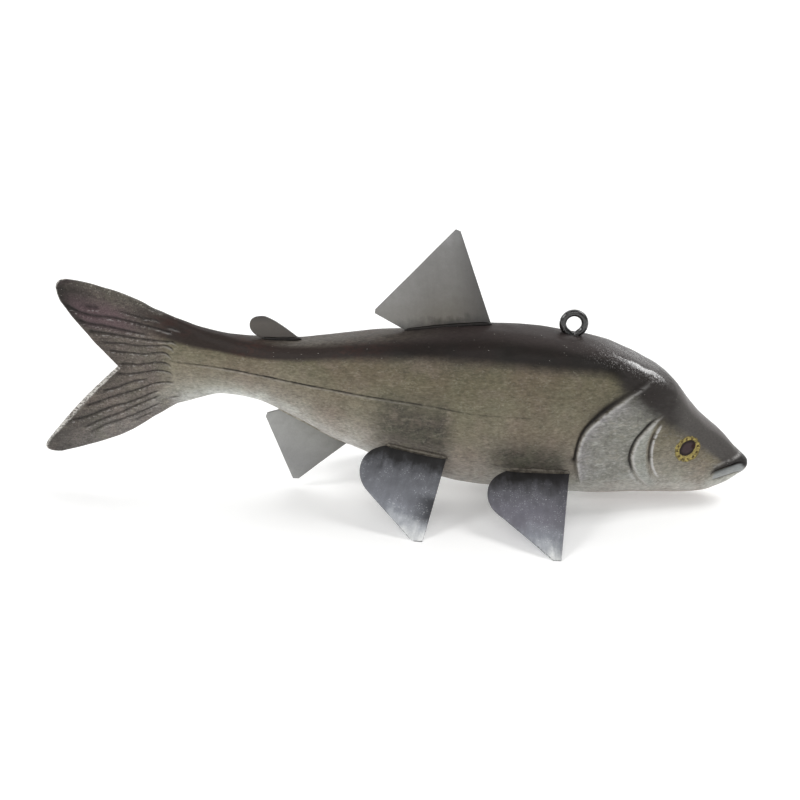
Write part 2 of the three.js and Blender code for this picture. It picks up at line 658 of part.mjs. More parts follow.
// The screw below the ring, from inside its lower point down to its tip
function shankGeometry(clearance = 0) {
  const radius = WIRE / 2 + clearance;
  const start = -((RING - WIRE) / 2) * RING_POINT;
  const end = start - SHANK - clearance;
  const profile = [[0, end], [radius, end + SHANK_TIP], [radius, start], [0, start]];
  const line = profile.map(([r, h]) => new THREE.Vector2(r, h));
  return new THREE.LatheGeometry(line, SHANK_SIDES).rotateX(Math.PI / 2);
}

function screwEyeSolid(clearance = 0) {
  return toSolid(ringGeometry(WIRE + 2 * clearance)).add(toSolid(shankGeometry(clearance)));
}

// The decoy
const cuts = [];
const decoy = new THREE.Group();
const middleFins = [
  ['dorsal_fin', bladeOutline(DORSAL), middleFrame(DORSAL, back), '#5c5c5c'],
  ['adipose_fin', lobeOutline(ADIPOSE), middleFrame(ADIPOSE, back), '#6b6259'],
  ['anal_fin', bladeOutline(ANAL), middleFrame(ANAL, belly), '#8a8c8c'],
];
for (const [name, outline, frame, color] of middleFins) {
  decoy.add(fin(name, outline, frame, paint(color, SATIN), cuts));
}
for (const [name, spec] of [['pectoral_fin', PECTORAL], ['pelvic_fin', PELVIC]]) {
  for (const [hand, sign] of [['left', 1], ['right', -1]]) {
    const frame = pairedFrame(spec, sign);
    const span = -frame.origin.z / frame.outward.z;
    const outline = pairedOutline(spec, span);
    decoy.add(fin(`${name}_${hand}`, outline, frame, paint('#4a4d52', SATIN), cuts, span));
  }
}

const ringX = along(RING_PLACE);
const ringPlace = new THREE.Matrix4().makeTranslation(ringX, 0, up(back(RING_PLACE)) + RING_RISE);
const enamel = paint('#1c1b1b', { roughness: 0.35, metalness: 0.6 });
decoy.add(placed('screw_eye', toGeometry(screwEyeSolid()), ringPlace, enamel));
cuts.push(toSolid(toGeometry(screwEyeSolid(KERF_CLEARANCE)).applyMatrix4(ringPlace)));

const wood = cuts.reduce((solid, cut) => solid.subtract(cut), toSolid(bodyGeometry()));
const varnish = paint('#6f6a5c', { roughness: 0.38, metalness: 0 });
decoy.add(placed('body', toGeometry(wood), new THREE.Matrix4(), varnish));

export default decoy;
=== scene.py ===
"""Dresses the fish decoy: a carved, airbrushed and varnished wooden fish on four sheet-metal fins.

Shapes are worked out in millimetres and turned to metres as each mesh is made. Heights and places
on the body are shares: a place runs from the snout to the tail, and a rise from the belly line up.
"""

import json
import logging
import math
from dataclasses import dataclass, field
from enum import Enum
from typing import Any, Callable

import bpy
import numpy as np
from mathutils import Matrix, Vector

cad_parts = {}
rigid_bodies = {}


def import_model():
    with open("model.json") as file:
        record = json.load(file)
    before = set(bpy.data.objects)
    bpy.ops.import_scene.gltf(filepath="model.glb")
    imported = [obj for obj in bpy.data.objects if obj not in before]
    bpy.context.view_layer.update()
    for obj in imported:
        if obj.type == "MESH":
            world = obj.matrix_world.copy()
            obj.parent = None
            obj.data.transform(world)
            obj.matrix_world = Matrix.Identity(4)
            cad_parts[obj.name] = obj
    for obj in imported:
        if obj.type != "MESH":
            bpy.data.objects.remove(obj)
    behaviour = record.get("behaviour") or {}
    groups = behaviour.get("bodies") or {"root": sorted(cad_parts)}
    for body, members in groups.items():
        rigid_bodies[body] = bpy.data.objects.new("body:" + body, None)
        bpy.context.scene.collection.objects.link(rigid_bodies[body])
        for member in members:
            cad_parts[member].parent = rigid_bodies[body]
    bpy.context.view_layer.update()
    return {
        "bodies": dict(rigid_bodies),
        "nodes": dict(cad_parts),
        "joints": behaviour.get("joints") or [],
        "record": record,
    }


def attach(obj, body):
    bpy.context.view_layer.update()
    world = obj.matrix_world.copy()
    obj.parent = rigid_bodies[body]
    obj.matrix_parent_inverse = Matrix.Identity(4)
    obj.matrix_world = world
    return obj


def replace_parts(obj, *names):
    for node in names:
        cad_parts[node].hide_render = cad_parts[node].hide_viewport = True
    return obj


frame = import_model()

MM = 0.001
SEED = 7
LOG = logging.getLogger("fish_decoy")

# A pair is where a value starts and ends, and a span where it starts, is full, falls and ends
Pair = tuple[float, float]
Span = tuple[float, float, float, float]
Array = np.ndarray
Fields = dict[str, Array]
Piece = bpy.types.Object


class Side(Enum):
    """The fish's own left and right, as the sign of y."""

    LEFT = 1
    RIGHT = -1


class Edge(Enum):
    """The outline that a middle fin stands on."""

    BACK = 1
    BELLY = -1


# Shapes of a line and of a rise, which everything below is made of


class Curve:
    """A smooth line through knots, straight beyond its ends.

    Between two knots it is the cubic that meets both values, and whose slope at a knot is the
    slope from the knot before to the knot after.
    """

    def __init__(self, *knots: tuple[float, float]) -> None:
        """Keeps the knots and works out their slopes.

        Args:
            knots: pairs of place and value, in rising order of place.
        """
        self.places, self.values = np.array(knots, float).T
        number = np.arange(len(knots))
        before = np.maximum(number - 1, 0)
        after = np.minimum(number + 1, len(knots) - 1)
        run = self.places[after] - self.places[before]
        self.slopes = (self.values[after] - self.values[before]) / run

    def __call__(self, place: Any) -> Array:
        """Gives the line's value.

        Args:
            place: a number or an array of places.

        Returns:
            The values there.
        """
        place = np.asarray(place, float)
        i = np.clip(np.searchsorted(self.places, place, side="right") - 1, 0, len(self.places) - 2)
        run = self.places[i + 1] - self.places[i]
        t = np.clip((place - self.places[i]) / run, 0, 1)
        s = 1 - t
        inside = (1 + 2 * t) * s * s * self.values[i] + t * s * s * run * self.slopes[i]
        inside += t * t * (3 - 2 * t) * self.values[i + 1] - t * t * s * run * self.slopes[i + 1]
        below = np.minimum(place - self.places[0], 0) * self.slopes[0]
        above = np.maximum(place - self.places[-1], 0) * self.slopes[-1]
        return inside + below + above


def smooth(start: Any, end: Any, value: Any) -> Array:
    """Rises as 3t² − 2t³ from 0 at start to 1 at end, or falls where end is below start."""
    t = np.clip((np.asarray(value, float) - start) / (end - start), 0, 1)
    return t * t * (3 - 2 * t)


def window(span: Span, value: Any) -> Array:
    """Rises smoothly over a span's first two numbers, and falls over its last two."""
    return smooth(span[0], span[1], value) * smooth(span[3], span[2], value)


def stretch(ends: tuple[float, ...], value: Any) -> Any:
    """Is a rise for two numbers, a window for four, and 1 where there are none."""
    if not ends:
        return 1.0
    return window(ends, value) if len(ends) == 4 else smooth(*ends, value)


def bell(value: Any, width: Any) -> Array:
    """Is 1 at 0 and falls away on both sides as e to the power of −(value / width)²."""
    return np.exp(-((np.asarray(value, float) / width) ** 2))


def fade(value: Any, run: Any) -> Array:
    """Is 1 up to 0 and falls away above it as e to the power of −value / run."""
    return np.exp(-np.maximum(value, 0) / run)


def mix(start: Any, end: Any, share: Any) -> Any:
    """Goes in a straight line from start to end."""
    return start + (end - start) * share


@dataclass(frozen=True)
class Stroke:
    """A line beside an edge, or round a place, that fades on both sides as a bell."""

    off: Any
    width: Any
    strength: float = 1.0

    def at(self, distance: Array) -> Array:
        """How strong the line is at a distance from the edge."""
        return self.strength * bell(distance - self.off, self.width)

    def turned(self, other: "Stroke", share: Array) -> "Stroke":
        """The line where it has turned into another one by a share."""
        return Stroke(mix(self.off, other.off, share), mix(self.width, other.width, share))


def spaced(*stretches: tuple[float, int]) -> Array:
    """Divides 0 to 1 into stretches with even steps of their own.

    Args:
        stretches: pairs of where a stretch ends and how many steps it has.

    Returns:
        The ends of the steps, without 0.
    """
    ends = [0.0] + [end for end, _ in stretches]
    parts = [
        np.linspace(start, end, steps + 1)[1:]
        for start, (end, steps) in zip(ends, stretches)
    ]
    return np.concatenate(parts)


def ripple(points: Array, length: float, seed: int, waves: int = 14) -> Array:
    """An uneven, smooth field: the mean of sine waves of one length in many directions.

    Args:
        points: places, the last axis being x, y and z.
        length: the waves' length, in the same unit.
        seed: picks the directions and phases.
        waves: how many waves are added.

    Returns:
        The field, mostly between −1 and 1.
    """
    draw = np.random.default_rng(SEED + seed)
    ways = draw.normal(size=(waves, 3))
    ways *= 2 * np.pi / length / np.linalg.norm(ways, axis=1, keepdims=True)
    phases = draw.uniform(0, 2 * np.pi, waves)
    total = np.zeros(points.shape[:-1])
    for way, phase in zip(ways, phases):
        total += np.sin(points @ way + phase)
    return total * math.sqrt(2 / waves)


def painted_piece(name: str, points: Array, finish: Any, fields: Fields | None = None) -> Piece:
    """Makes a closed, smooth piece of a grid whose columns close on themselves.

    Points that coincide are joined, flat triangles are dropped and faces are turned outward.

    Args:
        name: the piece's name.
        points: rings, columns and x, y, z, in millimetres.
        finish: its paint.
        fields: values at the points, kept as attributes of the mesh.

    Returns:
        The piece, linked to the scene.
    """
    number = np.arange(points[..., 0].size).reshape(points.shape[:2])
    right = np.roll(number, -1, axis=1)
    a, b, c, d = number[:-1], number[1:], right[1:], right[:-1]
    triangles = np.concatenate([np.stack([a, b, c], -1), np.stack([a, c, d], -1)])
    flat = points.reshape(-1, 3)
    _, first, place = np.unique(np.round(flat, 4), axis=0, return_index=True, return_inverse=True)
    corners = place.reshape(-1)[triangles.reshape(-1, 3)]
    a, b, c = corners.T
    corners = corners[(a != b) & (b != c) & (c != a)]
    spots = flat[first] * MM
    a, b, c = spots[corners].transpose(1, 0, 2)
    if np.einsum("ij,ij->", a, np.cross(b, c)) < 0:
        corners = corners[:, ::-1]
    mesh = bpy.data.meshes.new(name)
    mesh.vertices.add(len(spots))
    mesh.vertices.foreach_set("co", spots.ravel())
    mesh.loops.add(corners.size)
    mesh.loops.foreach_set("vertex_index", np.ascontiguousarray(corners).ravel())
    mesh.polygons.add(len(corners))
    mesh.polygons.foreach_set("loop_start", np.arange(len(corners)) * 3)
    mesh.update(calc_edges=True)
    mesh.shade_smooth()
    for key, values in (fields or {}).items():
        layer = mesh.attributes.new(key, "FLOAT", "POINT")
        layer.data.foreach_set("value", values.reshape(-1)[first].astype(np.float32))
    piece = bpy.data.objects.new(name, mesh)
    bpy.context.scene.collection.objects.link(piece)
    finish.apply(piece)
    return piece


# Shader maths


def colour(code: str) -> tuple[float, float, float, float]:
    """Turns a display colour such as 7a7264 into the light that it stands for."""
    parts = [int(code[i:i + 2], 16) / 255 for i in (0, 2, 4)]
    light = [p / 12.92 if p <= 0.04045 else ((p + 0.055) / 1.055) ** 2.4 for p in parts]
    return (*light, 1.0)


class Value:
    """A shader socket that takes part in sums, so that shader maths reads as Python."""

    def __init__(self, shader: "Shader", socket: bpy.types.NodeSocket) -> None:
        """Wraps a socket of a shader's tree."""
        self.shader = shader
        self.socket = socket

    def _math(self, operation: str, *others: Any, first: bool = True) -> "Value":
        """Adds a Math node, with this value in its first socket or else in its last."""
        sockets = [self, *others] if first else [*others, self]
        inputs = dict(enumerate(sockets))
        return self.shader.node("ShaderNodeMath", {"operation": operation}, inputs)

    def __add__(self, other: Any) -> "Value":
        """Sum."""
        return self._math("ADD", other)

    __radd__ = __add__

    def __sub__(self, other: Any) -> "Value":
        """Difference."""
        return self._math("SUBTRACT", other)

    def __rsub__(self, other: Any) -> "Value":
        """Difference from a number."""
        return self._math("SUBTRACT", other, first=False)

    def __mul__(self, other: Any) -> "Value":
        """Product."""
        return self._math("MULTIPLY", other)

    __rmul__ = __mul__

    def clamped(self) -> "Value":
        """The value kept between 0 and 1."""
        return self.shader.node("ShaderNodeClamp", {}, {0: self})

    def over(self, start: float, end: float) -> "Value":
        """Rises smoothly from 0 at start to 1 at end, with start below end."""
        settings = {"interpolation_type": "SMOOTHSTEP"}
        return self.shader.node("ShaderNodeMapRange", settings, {0: self, 1: start, 2: end})


class Shader:
    """The node tree of one material, with the object coordinates in millimetres."""

    def __init__(self, name: str) -> None:
        """Makes a material that has no surface yet.

        Args:
            name: the material's name.
        """
        self.material = bpy.data.materials.new(name)
        self.material.use_nodes = True
        self.tree = self.material.node_tree
        self.tree.nodes.clear()
        spot = self.node("ShaderNodeTexCoord", {}, {}, "Object")
        self.x, self.y, self.z = [
            self.node("ShaderNodeSeparateXYZ", {}, {0: spot}, axis) * (1 / MM)
            for axis in range(3)
        ]
        self.spot = self.vector(self.x, self.y, self.z)

    def node(
        self, kind: str, settings: dict[str, Any], inputs: dict[Any, Any], output: Any = 0
    ) -> Value:
        """Adds a node.

        Args:
            kind: the node's type.
            settings: the node's own properties, and under "stops" a ramp's places and colours.
            inputs: numbers, colours or values for its sockets, by number or name.
            output: which result is wanted, by number or name.

        Returns:
            That result.
        """
        node = self.tree.nodes.new(kind)
        for key, setting in settings.items():
            if key != "stops":
                setattr(node, key, setting)
                continue
            for number, (place, code) in enumerate(setting):
                if number >= len(node.color_ramp.elements):
                    node.color_ramp.elements.new(1.0)
                stop = node.color_ramp.elements[number]
                stop.position, stop.color = place, colour(code)
        for key, given in inputs.items():
            if isinstance(given, Value):
                self.tree.links.new(given.socket, node.inputs[key])
            else:
                node.inputs[key].default_value = given
        return Value(self, node.outputs[output])

    def field(self, name: str) -> Value:
        """A value that the mesh keeps at its points."""
        return self.node("ShaderNodeAttribute", {"attribute_name": name}, {}, "Fac")

    def vector(self, x: Any, y: Any, z: Any) -> Value:
        """Joins three values."""
        return self.node("ShaderNodeCombineXYZ", {}, {0: x, 1: y, 2: z})

    def drawn_out(self, share: float) -> Value:
        """The coordinates with x scaled down, which draws a noise out along the fish."""
        return self.vector(self.x * share, self.y, self.z)

    def length(self, a: Value, b: Value) -> Value:
        """The root of the sum of two squares."""
        return self.node("ShaderNodeMath", {"operation": "SQRT"}, {0: a * a + b * b})

    def noise(self, spot: Value, size: float, detail: float = 3.0) -> Value:
        """Cloudy noise from 0 to 1, whose largest blots have a size in the unit of spot."""
        inputs = {"Vector": spot, "Scale": 1 / size, "Detail": detail, "Roughness": 0.6}
        return self.node("ShaderNodeTexNoise", {}, inputs)

    def ramp(self, value: Value, *stops: tuple[float, str]) -> Value:
        """A colour that follows a value through stops, which are pairs of place and code."""
        return self.node("ShaderNodeValToRGB", {"stops": stops}, {0: value})

    def blend(self, share: Any, low: Any, high: Any) -> Value:
        """Mixes two colours, given as codes or values: low where the share is 0, high at 1."""
        low, high = [colour(c) if isinstance(c, str) else c for c in (low, high)]
        settings = {"data_type": "RGBA", "clamp_factor": True}
        return self.node("ShaderNodeMix", settings, {0: share, 6: low, 7: high}, 2)

    def coats(self, base: Value, *coats: tuple[Value, Any]) -> Value:
        """Lays coats over a colour. A coat is how much of it shows, and its colour."""
        for share, paint in coats:
            base = self.blend(share, base, paint)
        return base

    def speckled(self, base: Value, share: Value, strength: float) -> Value:
        """Makes a colour lighter and darker where a value is over and under a half."""
        level = (share - 0.5) * strength + 1
        return self.node(
            "ShaderNodeVectorMath", {"operation": "MULTIPLY"},
            {0: base, 1: self.vector(level, level, level)},
        )

    def bump(self, height: Value, depth: float, under: Value | None = None) -> Value:
        """Fine relief.

        Args:
            height: the relief, from 0 to 1.
            depth: how high 1 is, in millimetres.
            under: coarser relief that it lies on.

        Returns:
            The normal.
        """
        inputs = {"Height": height, "Strength": 1.0, "Distance": depth * MM}
        if under is not None:
            inputs["Normal"] = under
        return self.node("ShaderNodeBump", {}, inputs)

    def finish(self, **inputs: Any) -> bpy.types.Material:
        """Closes the tree with one surface.

        Args:
            inputs: the surface's sockets, with underscores for spaces in their names.

        Returns:
            The material.
        """
        named = {key.replace("_", " "): given for key, given in inputs.items()}
        surface = self.node("ShaderNodeBsdfPrincipled", {}, named)
        output = self.tree.nodes.new("ShaderNodeOutputMaterial")
        self.tree.links.new(surface.socket, output.inputs["Surface"])
        return self.material


# The carved body


@dataclass
class Section:
    """One or many sections across the body, in millimetres."""

    low: Array
    high: Array
    middle: Array
    half: Array


@dataclass
class Form:
    """The smooth body, before it is carved, in millimetres."""

    length: float = 254.0
    depth: float = 62.0
    thickness: float = 36.0
    belly_height: float = 2.2
    tail_thickness: float = 3.4
    nose_round: float = 3.2
    snout_rise: float = 0.197
    tail_base: float = 0.81
    tail_full: float = 0.25
    tip_share: float = 0.8
    upper_bow: float = 0.0365
    lower_bow: float = 0.052
    upper_skew: float = 1.15
    lower_power: float = 1.2
    swells: Pair = (0.7, 1.1)
    fork: Pair = (0.8906, 0.7)
    upper_tip: tuple[Pair, ...] = ((0.9646, 1.085), (0.977, 1.203), (0.956, 1.21))
    lower_tip: tuple[Pair, ...] = ((0.9906, 0.262), (1.0152, 0.152), (0.9752, 0.168))
    back: Curve = Curve(
        (0, 0.224), (0.012, 0.242), (0.03, 0.331), (0.045, 0.393), (0.06, 0.438), (0.076, 0.495),
        (0.092, 0.568), (0.106, 0.639), (0.12, 0.703), (0.137, 0.765), (0.16, 0.812), (0.18, 0.852),
        (0.21, 0.905), (0.24, 0.934), (0.3, 0.977), (0.38, 1), (0.43, 0.984), (0.48, 0.96),
        (0.55, 0.93), (0.6, 0.899), (0.66, 0.881), (0.72, 0.896), (0.77, 0.937), (0.81, 0.993),
    )
    belly: Curve = Curve(
        (0, 0.146), (0.012, 0.131), (0.03, 0.071), (0.06, 0.022), (0.1, 0.012), (0.16, 0.013),
        (0.24, 0.011), (0.34, 0.035), (0.42, 0.065), (0.5, 0.155), (0.58, 0.276), (0.65, 0.431),
        (0.7, 0.521), (0.75, 0.547), (0.78, 0.52), (0.81, 0.482),
    )
    side: Curve = Curve(
        (0, 0.22), (0.02, 0.31), (0.05, 0.44), (0.1, 0.64), (0.16, 0.82), (0.23, 0.955),
        (0.32, 1), (0.42, 0.98), (0.52, 0.845), (0.62, 0.62), (0.7, 0.42), (0.76, 0.28),
        (0.81, 0.18),
    )
    widest: Curve = Curve(
        (0, 0.55), (0.04, 0.5), (0.1, 0.44), (0.2, 0.42), (0.35, 0.42), (0.55, 0.48),
        (0.7, 0.5), (0.81, 0.5),
    )
    full_above: Curve = Curve(
        (0, 0.8), (0.06, 0.68), (0.13, 0.62), (0.2, 0.6), (0.26, 0.64), (0.33, 0.82),
        (0.4, 0.98), (0.46, 0.9), (0.53, 0.7), (0.6, 0.6), (0.67, 0.62), (0.74, 0.75),
        (0.81, 0.7),
    )
    full_below: Curve = Curve(
        (0, 0.9), (0.06, 0.8), (0.15, 0.7), (0.25, 0.72), (0.42, 0.8), (0.55, 1), (0.7, 0.95),
        (0.81, 0.7),
    )

    def along(self, share: Any) -> Any:
        """The x of a share of the length from the snout."""
        return self.length * (0.5 - share)

    def share_of(self, x: Any) -> Any:
        """The share of the length from the snout of an x."""
        return 0.5 - x / self.length

    def up(self, rise: Any) -> Any:
        """The z of a share of the depth from the belly line."""
        return self.belly_height + rise * self.depth

    def rise_of(self, z: Any) -> Any:
        """The share of the depth from the belly line of a z."""
        return (z - self.belly_height) / self.depth

    def section(self, share: Array) -> Section:
        """Sections across the body, which close to a point at the snout as a quarter circle.

        Args:
            share: places along the body.

        Returns:
            Their lowest, highest and widest heights, and half their widths.
        """
        t = np.clip(share * self.length / self.nose_round, 0, 1)
        rounding = np.sqrt(np.maximum(1 - (1 - t) ** 2, 0))
        snout = self.up(self.snout_rise)
        high = mix(snout, self.up(self.back(share)), rounding)
        low = mix(snout, self.up(self.belly(share)), rounding)
        half = self.side(share) * rounding * self.thickness / 2
        return Section(low, high, mix(low, high, self.widest(share)), half)

    def point(self, share: Array, height: Array) -> Array:
        """Points of one side: y is half the width times (1 − height²) to half the fullness.

        Args:
            share: places along the body.
            height: −1 on the belly line, 0 at the widest place and 1 on the back line.

        Returns:
            The points, with y from 0 up.
        """
        share, height = np.broadcast_arrays(share, height)
        cut = self.section(share)
        above = height > 0
        reach = np.where(above, cut.high - cut.middle, cut.middle - cut.low)
        fullness = np.where(above, self.full_above(share), self.full_below(share))
        y = cut.half * np.maximum(1 - height * height, 0) ** (fullness / 2)
        return np.stack([self.along(share), y, cut.middle + height * reach], -1)

    def height_at(self, share: Array, z: Array) -> Array:
        """Where a point of the side view lies, as the height of `point`."""
        cut = self.section(share)
        reach = np.where(z > cut.middle, cut.high - cut.middle, cut.middle - cut.low)
        return np.clip((z - cut.middle) / reach, -1, 1)

    def surface_at(self, x: Any, z: Any) -> Array:
        """The point of the left side above a point of the side view."""
        share = self.share_of(np.asarray(x, float))
        return self.point(share, self.height_at(share, np.asarray(z, float)))

    def trailing_edge(self, height: Array) -> tuple[Array, Array]:
        """The tail's rear edge: straight from the fork out, then a bend round each tip.

        The straight part swells by sin(π line), and the bend is (1 − t)² start
        + 2 t (1 − t) corner + t² end.

        Args:
            height: −1 at the lower tip, 0 at the fork and 1 at the upper tip.

        Returns:
            Its x and z.
        """
        reach = np.abs(height)
        t = np.clip((reach - self.tip_share) / (1 - self.tip_share), 0, 1)
        line = np.clip(reach / self.tip_share, 0, 1)
        result = []
        for axis, place in enumerate((self.along, self.up)):
            fork = place(self.fork[axis])
            upper, lower = [
                [place(point[axis]) for point in tip] for tip in (self.upper_tip, self.lower_tip)
            ]
            start, corner, end = [np.where(height > 0, u, w) for u, w in zip(upper, lower)]
            bend = (1 - t) ** 2 * start + 2 * t * (1 - t) * corner + t * t * end
            result.append(np.where(reach <= self.tip_share, mix(fork, start, line), bend))
        swell = np.where(height > 0, *self.swells) * np.sin(np.pi * line)
        return result[0] - np.where(reach <= self.tip_share, swell, 0), result[1]

    def tail_point(self, reach: Array, height: Array) -> Array:
        """Points of one side of the tail.

        Each line of one height goes straight from the tail's base to its trailing edge, bowed
        by sin(π reach) times height², while the section thins with the root of reach. In the
        upper lobe a power of reach moves the fullest place of the bow back, and in the lower
        one a power of the sine lets it start gently.

        Args:
            reach: 0 at the base, 1 at the trailing edge.
            height: −1 at the lower edge, 0 at the fork and 1 at the upper edge.

        Returns:
            The points, with y from 0 up.
        """
        reach, height = np.broadcast_arrays(reach, height)
        base = self.point(np.full(height.shape, self.tail_base), height)
        end_x, end_z = self.trailing_edge(height)
        upper = height > 0
        bow = np.where(upper, self.upper_bow, -self.lower_bow) * self.depth * height ** 2
        turn = np.pi * reach ** np.where(upper, self.upper_skew, 1)
        bow = bow * np.sin(turn) ** np.where(upper, 1, self.lower_power)
        z = mix(base[..., 2], end_z, reach) + bow
        root = np.sqrt(reach)
        half = mix(self.section(self.tail_base).half, self.tail_thickness / 2, root)
        fullness = mix(self.full_above(self.tail_base), self.tail_full, root)
        y = half * np.maximum(1 - height * height, 0) ** (fullness / 2)
        return np.stack([mix(base[..., 0], end_x, reach), y, z], -1)


class SideView:
    """Points of one side of the smooth body, seen from the side."""

    def __init__(self, form: Form, points: Array) -> None:
        """Keeps the points, their places along the body and their rises."""
        self.form = form
        self.x, self.z = points[..., 0], points[..., 2]
        self.share = form.share_of(self.x)
        self.rise = form.rise_of(self.z)

    def over(self, line: Curve) -> Array:
        """How far the points lie above a carved line that runs along the body."""
        return self.z - self.form.up(line(self.share))

    def ahead_of(self, line: Curve) -> Array:
        """How far the points lie in front of an upright carved line, measured across it.

        Args:
            line: the line's place for a rise.

        Returns:
            The distances, less than 0 behind it.
        """
        step = 0.01
        run = (line(self.rise + step) - line(self.rise - step)) * self.form.length
        lean = run / (2 * step * self.form.depth)
        return (self.x - self.form.along(line(self.rise))) / np.hypot(1, lean)


@dataclass(frozen=True)
class GillCover:
    """The gill cover: a raised edge with a cut and painted shade behind it, in millimetres."""

    line: Curve = Curve(
        (0, 0.242), (0.08, 0.243), (0.15, 0.246), (0.2, 0.249), (0.32, 0.254), (0.46, 0.246),
        (0.57, 0.222), (0.66, 0.19), (0.756, 0.15), (0.8, 0.134),
    )
    span: Span = (0.1, 0.2, 0.6, 0.77)
    lip: float = 0.9
    lip_step: Pair = (-0.25, 0.45)
    lip_run: float = 9.0
    groove: float = 0.65
    low_cut: Stroke = Stroke(-0.5, 0.5)
    high_cut: Stroke = Stroke(-0.9, 1.1)
    cut_turns: Pair = (0.4, 0.65)
    cut_darkens: Pair = (0.24, 0.32)
    knob: Stroke = Stroke(-0.9, 1.1)
    knob_rise: Stroke = Stroke(0.305, 0.018)
    light: Stroke = Stroke(0.6, 0.6, 0.8)
    shade_step: Pair = (0.3, -0.2)
    shade_run: Pair = (0.9, 2.6)
    shade_spreads: Pair = (0.4, 0.68)
    shade_strength: Pair = (0.5, 0.95)
    shade_deepens: Pair = (0.4, 0.6)
    rim_step: Pair = (0, 0.8)
    rim_run: float = 3.6
    rim_top: Pair = (0.7, 0.6)

    def marks(self, view: SideView) -> Fields:
        """What the cover leaves at points of the side view.

        Args:
            view: the points.

        Returns:
            Its fields, as `Carving.relief` names them.
        """
        ahead, rise = view.ahead_of(self.line), view.rise
        span = window(self.span, rise)
        cut = span * self.low_cut.turned(self.high_cut, smooth(*self.cut_turns, rise)).at(ahead)
        lip = span * smooth(*self.lip_step, ahead) * fade(ahead, self.lip_run)
        knob = self.knob.at(ahead) * self.knob_rise.at(rise)
        shade_run = mix(*self.shade_run, smooth(*self.shade_spreads, rise))
        # Painted shade behind the raised edge of the cover, wider towards the top
        cut_shade = smooth(*self.shade_step, ahead) * fade(-ahead, shade_run)
        cut_shade = cut_shade * mix(*self.shade_strength, smooth(*self.shade_deepens, rise))
        rim = smooth(*self.rim_step, ahead) * fade(ahead, self.rim_run)
        return {
            "out": self.lip * lip - self.groove * cut,
            "dark": np.maximum(smooth(*self.cut_darkens, rise) * cut, knob),
            "edge": span * self.light.at(ahead),
            "shade": span * cut_shade,
            "rim": span * rim * smooth(*self.rim_top, rise),
            "cover": span * smooth(0, 1, ahead),
        }


@dataclass(frozen=True)
class CheekCrescent:
    """The raised crescent of the cheek, between a cut behind it and one in front of it."""

    back: Curve = Curve(
        (0, 0.141), (0.108, 0.151), (0.166, 0.163), (0.226, 0.172), (0.32, 0.178),
        (0.408, 0.172), (0.458, 0.163), (0.519, 0.149), (0.556, 0.139), (0.62, 0.122),
        (0.7, 0.1),
    )
    front: Curve = Curve(
        (0, 0.122), (0.129, 0.1355), (0.205, 0.147), (0.271, 0.1526), (0.345, 0.154),
        (0.403, 0.1525), (0.471, 0.147), (0.532, 0.139), (0.6, 0.127), (0.68, 0.112),
    )
    span: Span = (0.08, 0.14, 0.5, 0.56)
    height: float = 0.7
    front_slope: Pair = (0, 1.6)
    back_slope: Pair = (0, 1.0)
    groove: float = 0.55
    cut: Stroke = Stroke(-0.5, 0.5)
    back_dark: Pair = (0.17, 0.27)
    front_dark: Span = (0.24, 0.29, 0.43, 0.48)
    front_dark_strength: float = 0.85
    shade_strength: float = 0.6
    shade_starts: Pair = (0.2, 0.3)
    shade_step: Pair = (0.3, -0.2)
    shade_run: float = 0.8
    front_light: Stroke = Stroke(-1.35, 0.35, 2.2)
    front_lit: Span = (0.16, 0.2, 0.47, 0.5)
    back_light: Stroke = Stroke(0.6, 0.5, 0.9)
    low_light: Stroke = Stroke(-1.4, 0.5, 0.9)
    low_lit: Pair = (0.26, 0.2)

    def marks(self, view: SideView) -> Fields:
        """What the crescent leaves at points of the side view.

        Args:
            view: the points.

        Returns:
            Its fields, as `Carving.relief` names them.
        """
        behind, ahead, rise = -view.ahead_of(self.front), view.ahead_of(self.back), view.rise
        span = window(self.span, rise)
        crescent = span * smooth(*self.front_slope, behind) * smooth(*self.back_slope, ahead)
        front_cut = span * self.cut.at(behind)
        back_cut = span * self.cut.at(ahead)
        front_dark = self.front_dark_strength * window(self.front_dark, rise) * front_cut
        # Painted shade behind the crescent's back cut
        cut_shade = smooth(*self.shade_step, ahead) * fade(-ahead, self.shade_run)
        cut_shade = cut_shade * self.shade_strength * smooth(*self.shade_starts, rise)
        front_light = self.front_light.at(behind) * window(self.front_lit, rise)
        low_light = self.low_light.at(ahead) * smooth(*self.low_lit, rise)
        back_light = np.maximum(self.back_light.at(ahead), low_light)
        return {
            "out": self.height * crescent - self.groove * (front_cut + back_cut),
            "dark": np.maximum(front_dark, smooth(*self.back_dark, rise) * back_cut),
            "edge": span * np.maximum(front_light, back_light),
            "shade": span * cut_shade,
            "cheek": crescent,
        }


